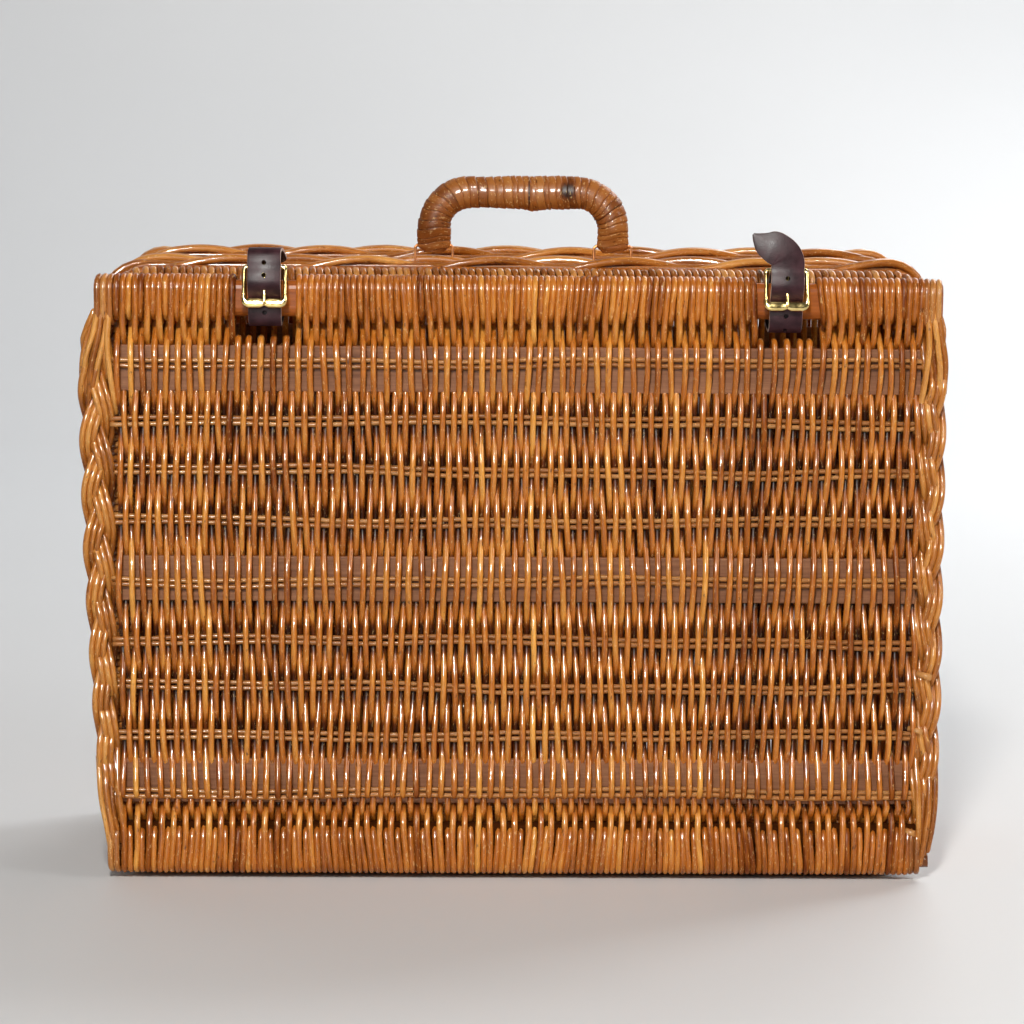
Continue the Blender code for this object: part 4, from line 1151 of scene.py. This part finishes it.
for side in strap_x:
    low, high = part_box(f"buckle_frame_{side}")
    x = strap_x[side]
    heel = np.array((x, front_y + 0.001, lid_top + 0.0045))
    bar = np.array((x, front_y - 0.0052, lid_top - 0.0165))
    down = unit(bar - heel)
    facing = np.cross(X, down)
    half = (high.x - low.x) / 2 - 0.0016
    stops = []
    for u in np.linspace(-1, 1, 9):
        stops.append((heel + X * u * half * 0.93, 0.0016, 0.0016))
    stops.append((heel + X * half + down * 0.0016, 0.0015, 0.0016))
    for t in (0.25, 0.5, 0.72):
        stops.append((heel * (1 - t) + bar * t + X * half * (1 + 0.03 * t), 0.0012, 0.0017))
    stops.append((bar + X * half * 1.02 - down * 0.0030, 0.0016, 0.0018))
    stops.append((bar + X * half * 0.94 - down * 0.0006, 0.0024, 0.0019))
    for u in np.linspace(0.78, -0.78, 15):
        dip = math.exp(-((u / 0.12) ** 2))
        stops.append((bar + X * u * half - facing * 0.0006 * dip, 0.0030 - 0.0010 * dip, 0.0019 - 0.0004 * dip))
    stops.append((bar - X * half * 0.94 - down * 0.0006, 0.0024, 0.0019))
    stops.append((bar - X * half * 1.02 - down * 0.0030, 0.0016, 0.0018))
    for t in (0.72, 0.5, 0.25):
        stops.append((heel * (1 - t) + bar * t - X * half * (1 + 0.03 * t), 0.0012, 0.0017))
    stops.append((heel - X * half + down * 0.0016, 0.0015, 0.0016))
    ring = np.array([p for p, _, _ in stops])
    ring = through(np.vstack((ring, ring[:1])), 3)[:-1]
    flats = through(np.array([(a, b, 0) for _, a, b in stops] + [(stops[0][1], stops[0][2], 0)]), 3)[:-1]
    tangent = unit(np.roll(ring, -1, 0) - np.roll(ring, 1, 0))
    beside = unit(np.cross(tangent, facing))
    frame_rods = Rods()
    frame_rods.add(ring, 0.001, beside, 16, 0.5, closed=True)
    turn = 2 * np.pi * np.arange(16) / 16
    shape = flats[:, 0][:, None, None] * np.cos(turn)[None, :, None] * beside[:, None, :]
    shape = shape + flats[:, 1][:, None, None] * np.sin(turn)[None, :, None] * facing[None, None, :]
    frame_rods.points[0] = (ring[:, None, :] + shape).reshape(-1, 3)
    frame_rods.make(f"brass_buckle_{side}", "brass", f"buckle_{side}", f"buckle_frame_{side}")
    prong = Rods()
    ring_turns = np.linspace(0, 2 * math.pi, 20, endpoint=False)
    eye = [heel + np.array((0, 0.00245 * math.cos(a), 0.00245 * math.sin(a))) for a in ring_turns]
    prong.add(eye, 0.0017, X, 10, 0.5, closed=True, flat=0.42)
    start = np.array((x, front_y - 0.0012, lid_top + 0.0027))
    rest = np.array((x, front_y - 0.0081, lid_top - 0.0150))
    tip = np.array((x, front_y - 0.0080, lid_top - 0.0168))
    blade = through((start, start * 0.5 + rest * 0.5 - Y * 0.0002, rest, tip), 5)
    sizes = np.interp(np.arange(len(blade)), (0, 9, len(blade) - 1), (0.00115, 0.00100, 0.00070))
    prong.add(blade, sizes, X, 12, 0.5, tips=True)
    prong.make(f"brass_prong_{side}", "brass", f"prong_{side}", f"buckle_prong_{side}")


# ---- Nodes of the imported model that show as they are

kept = {
    "slat": [f"{p}_slat_{n}" for p in ("lid", "base") for n in ("top", "middle", "bottom")],
    "rail": ["lid_top_rail", "handle_core"] + [f"hinge_loop_{n}" for n in ("left", "middle", "right")],
    # The bottom rail and hinge rod get the rail wood with painted shade, as they lie in shade behind the bottom roll.
    "rail_painted_shade": ["lid_bottom_rail", "lid_hinge_rod"],
    "leather": ["chape_left", "chape_right"],
    "brass": ["strap_rivet_left", "strap_rivet_right"],
    "staple_wire": ["handle_wire_left", "handle_wire_right"],
}
for surface, names in kept.items():
    for name in names:
        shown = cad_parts[name]
        shown.data.materials.clear()
        shown.data.materials.append(surfaces[surface])


# ---- Floor, lights and camera


def stage_material(name, colour, gloss):
    made, tree, shader = new_material(name)
    place = node(tree, "ShaderNodeTexCoord").outputs["Object"]
    cloud = noise(tree, place, 1.3, 2.0)
    pale = tuple(min(1.0, c * 1.03) for c in colour)
    tree.links.new(ramp(tree, cloud, ((0.3, colour), (0.7, pale))), shader.inputs["Base Color"])
    shader.inputs["Roughness"].default_value = gloss
    return made


floor_back, curve = 2.0, 0.7
profile = [(-3.5, 0.0), (floor_back, 0.0)]
for k in range(1, 13):
    a = -math.pi / 2 + math.pi / 2 * k / 12
    profile.append((floor_back + curve * math.cos(a), curve + curve * math.sin(a)))
profile.append((floor_back + curve, 4.0))
sweep_points = [(x, y, z) for y, z in profile for x in (-4.5, 4.5)]
sweep_faces = [(2 * i, 2 * i + 1, 2 * i + 3, 2 * i + 2) for i in range(len(profile) - 1)]
sweep = bpy.data.meshes.new("sweep")
sweep.from_pydata(sweep_points, [], sweep_faces)
for face in sweep.polygons:
    face.use_smooth = True
sweep.materials.append(stage_material("sweep", (0.62, 0.63, 0.64), 0.6))
floor = bpy.data.objects.new("sweep", sweep)
bpy.context.scene.collection.objects.link(floor)


def area_light(name, place, target, size, power, colour):
    data = bpy.data.lights.new(name, "AREA")
    data.shape = "RECTANGLE"
    data.size, data.size_y = size
    data.energy = power
    data.color = colour
    made = bpy.data.objects.new(name, data)
    made.location = place
    made.rotation_euler = (Vector(target) - Vector(place)).to_track_quat("-Z", "Y").to_euler()
    made.visible_camera = False
    bpy.context.scene.collection.objects.link(made)
    return made


# Small lamps give the varnish its glints, and the two at the wall light it from above.
area_light("key", (-0.20, -1.75, 1.75), (0, -0.08, 0.2), (0.22, 0.22), 36, (1.0, 0.95, 0.89))
glint = area_light("glint", (-0.45, -2.35, 1.12), (0, -0.08, 0.22), (0.24, 0.50), 190, (1.0, 0.98, 0.94))
glint.visible_diffuse = False
area_light("side", (2.1, -0.9, 1.0), (0, 0, 0.2), (0.7, 0.7), 17, (1.0, 0.98, 0.95))
area_light("back", (1.0, 2.0, 1.6), (0, 0.1, 0.2), (1.2, 1.0), 14, (1.0, 0.98, 0.96))
area_light("wall_right", (2.2, 1.5, 2.5), (1.4, 2.7, 0.8), (1.4, 1.2), 84, (0.98, 0.99, 1.0))
area_light("wall_left", (-1.5, 1.4, 2.5), (-1.1, 2.7, 0.8), (1.4, 1.2), 13, (0.97, 0.98, 1.0))
world = bpy.data.worlds.new("studio")
world.use_nodes = True
world.node_tree.nodes["Background"].inputs["Color"].default_value = (0.97, 0.98, 1.0, 1)
world.node_tree.nodes["Background"].inputs["Strength"].default_value = 0.09
bpy.context.scene.world = world
bpy.context.scene.view_settings.view_transform = "Standard"

camera_place = Vector((-0.0299, -1.7721, 0.4796))
pitch_down, yaw_right, roll = 0.1458, 0.0153, 0.0076
forward = Vector(
    (
        math.sin(yaw_right) * math.cos(pitch_down),
        math.cos(yaw_right) * math.cos(pitch_down),
        -math.sin(pitch_down),
    )
)
right = Vector((math.cos(yaw_right), -math.sin(yaw_right), 0))
up = right.cross(forward)
image_right = right * math.cos(roll) + up * math.sin(roll)
image_up = up * math.cos(roll) - right * math.sin(roll)
lens_pixels = 2800
sensor = 36
image_width = 1024
camera_data = bpy.data.cameras.new("camera")
camera_data.sensor_width = sensor
camera_data.lens = lens_pixels / image_width * sensor
camera = bpy.data.objects.new("camera", camera_data)
rotation = Matrix((image_right, image_up, -forward)).transposed()
camera.matrix_world = Matrix.Translation(camera_place) @ rotation.to_4x4()
bpy.context.scene.collection.objects.link(camera)
bpy.context.scene.camera = camera
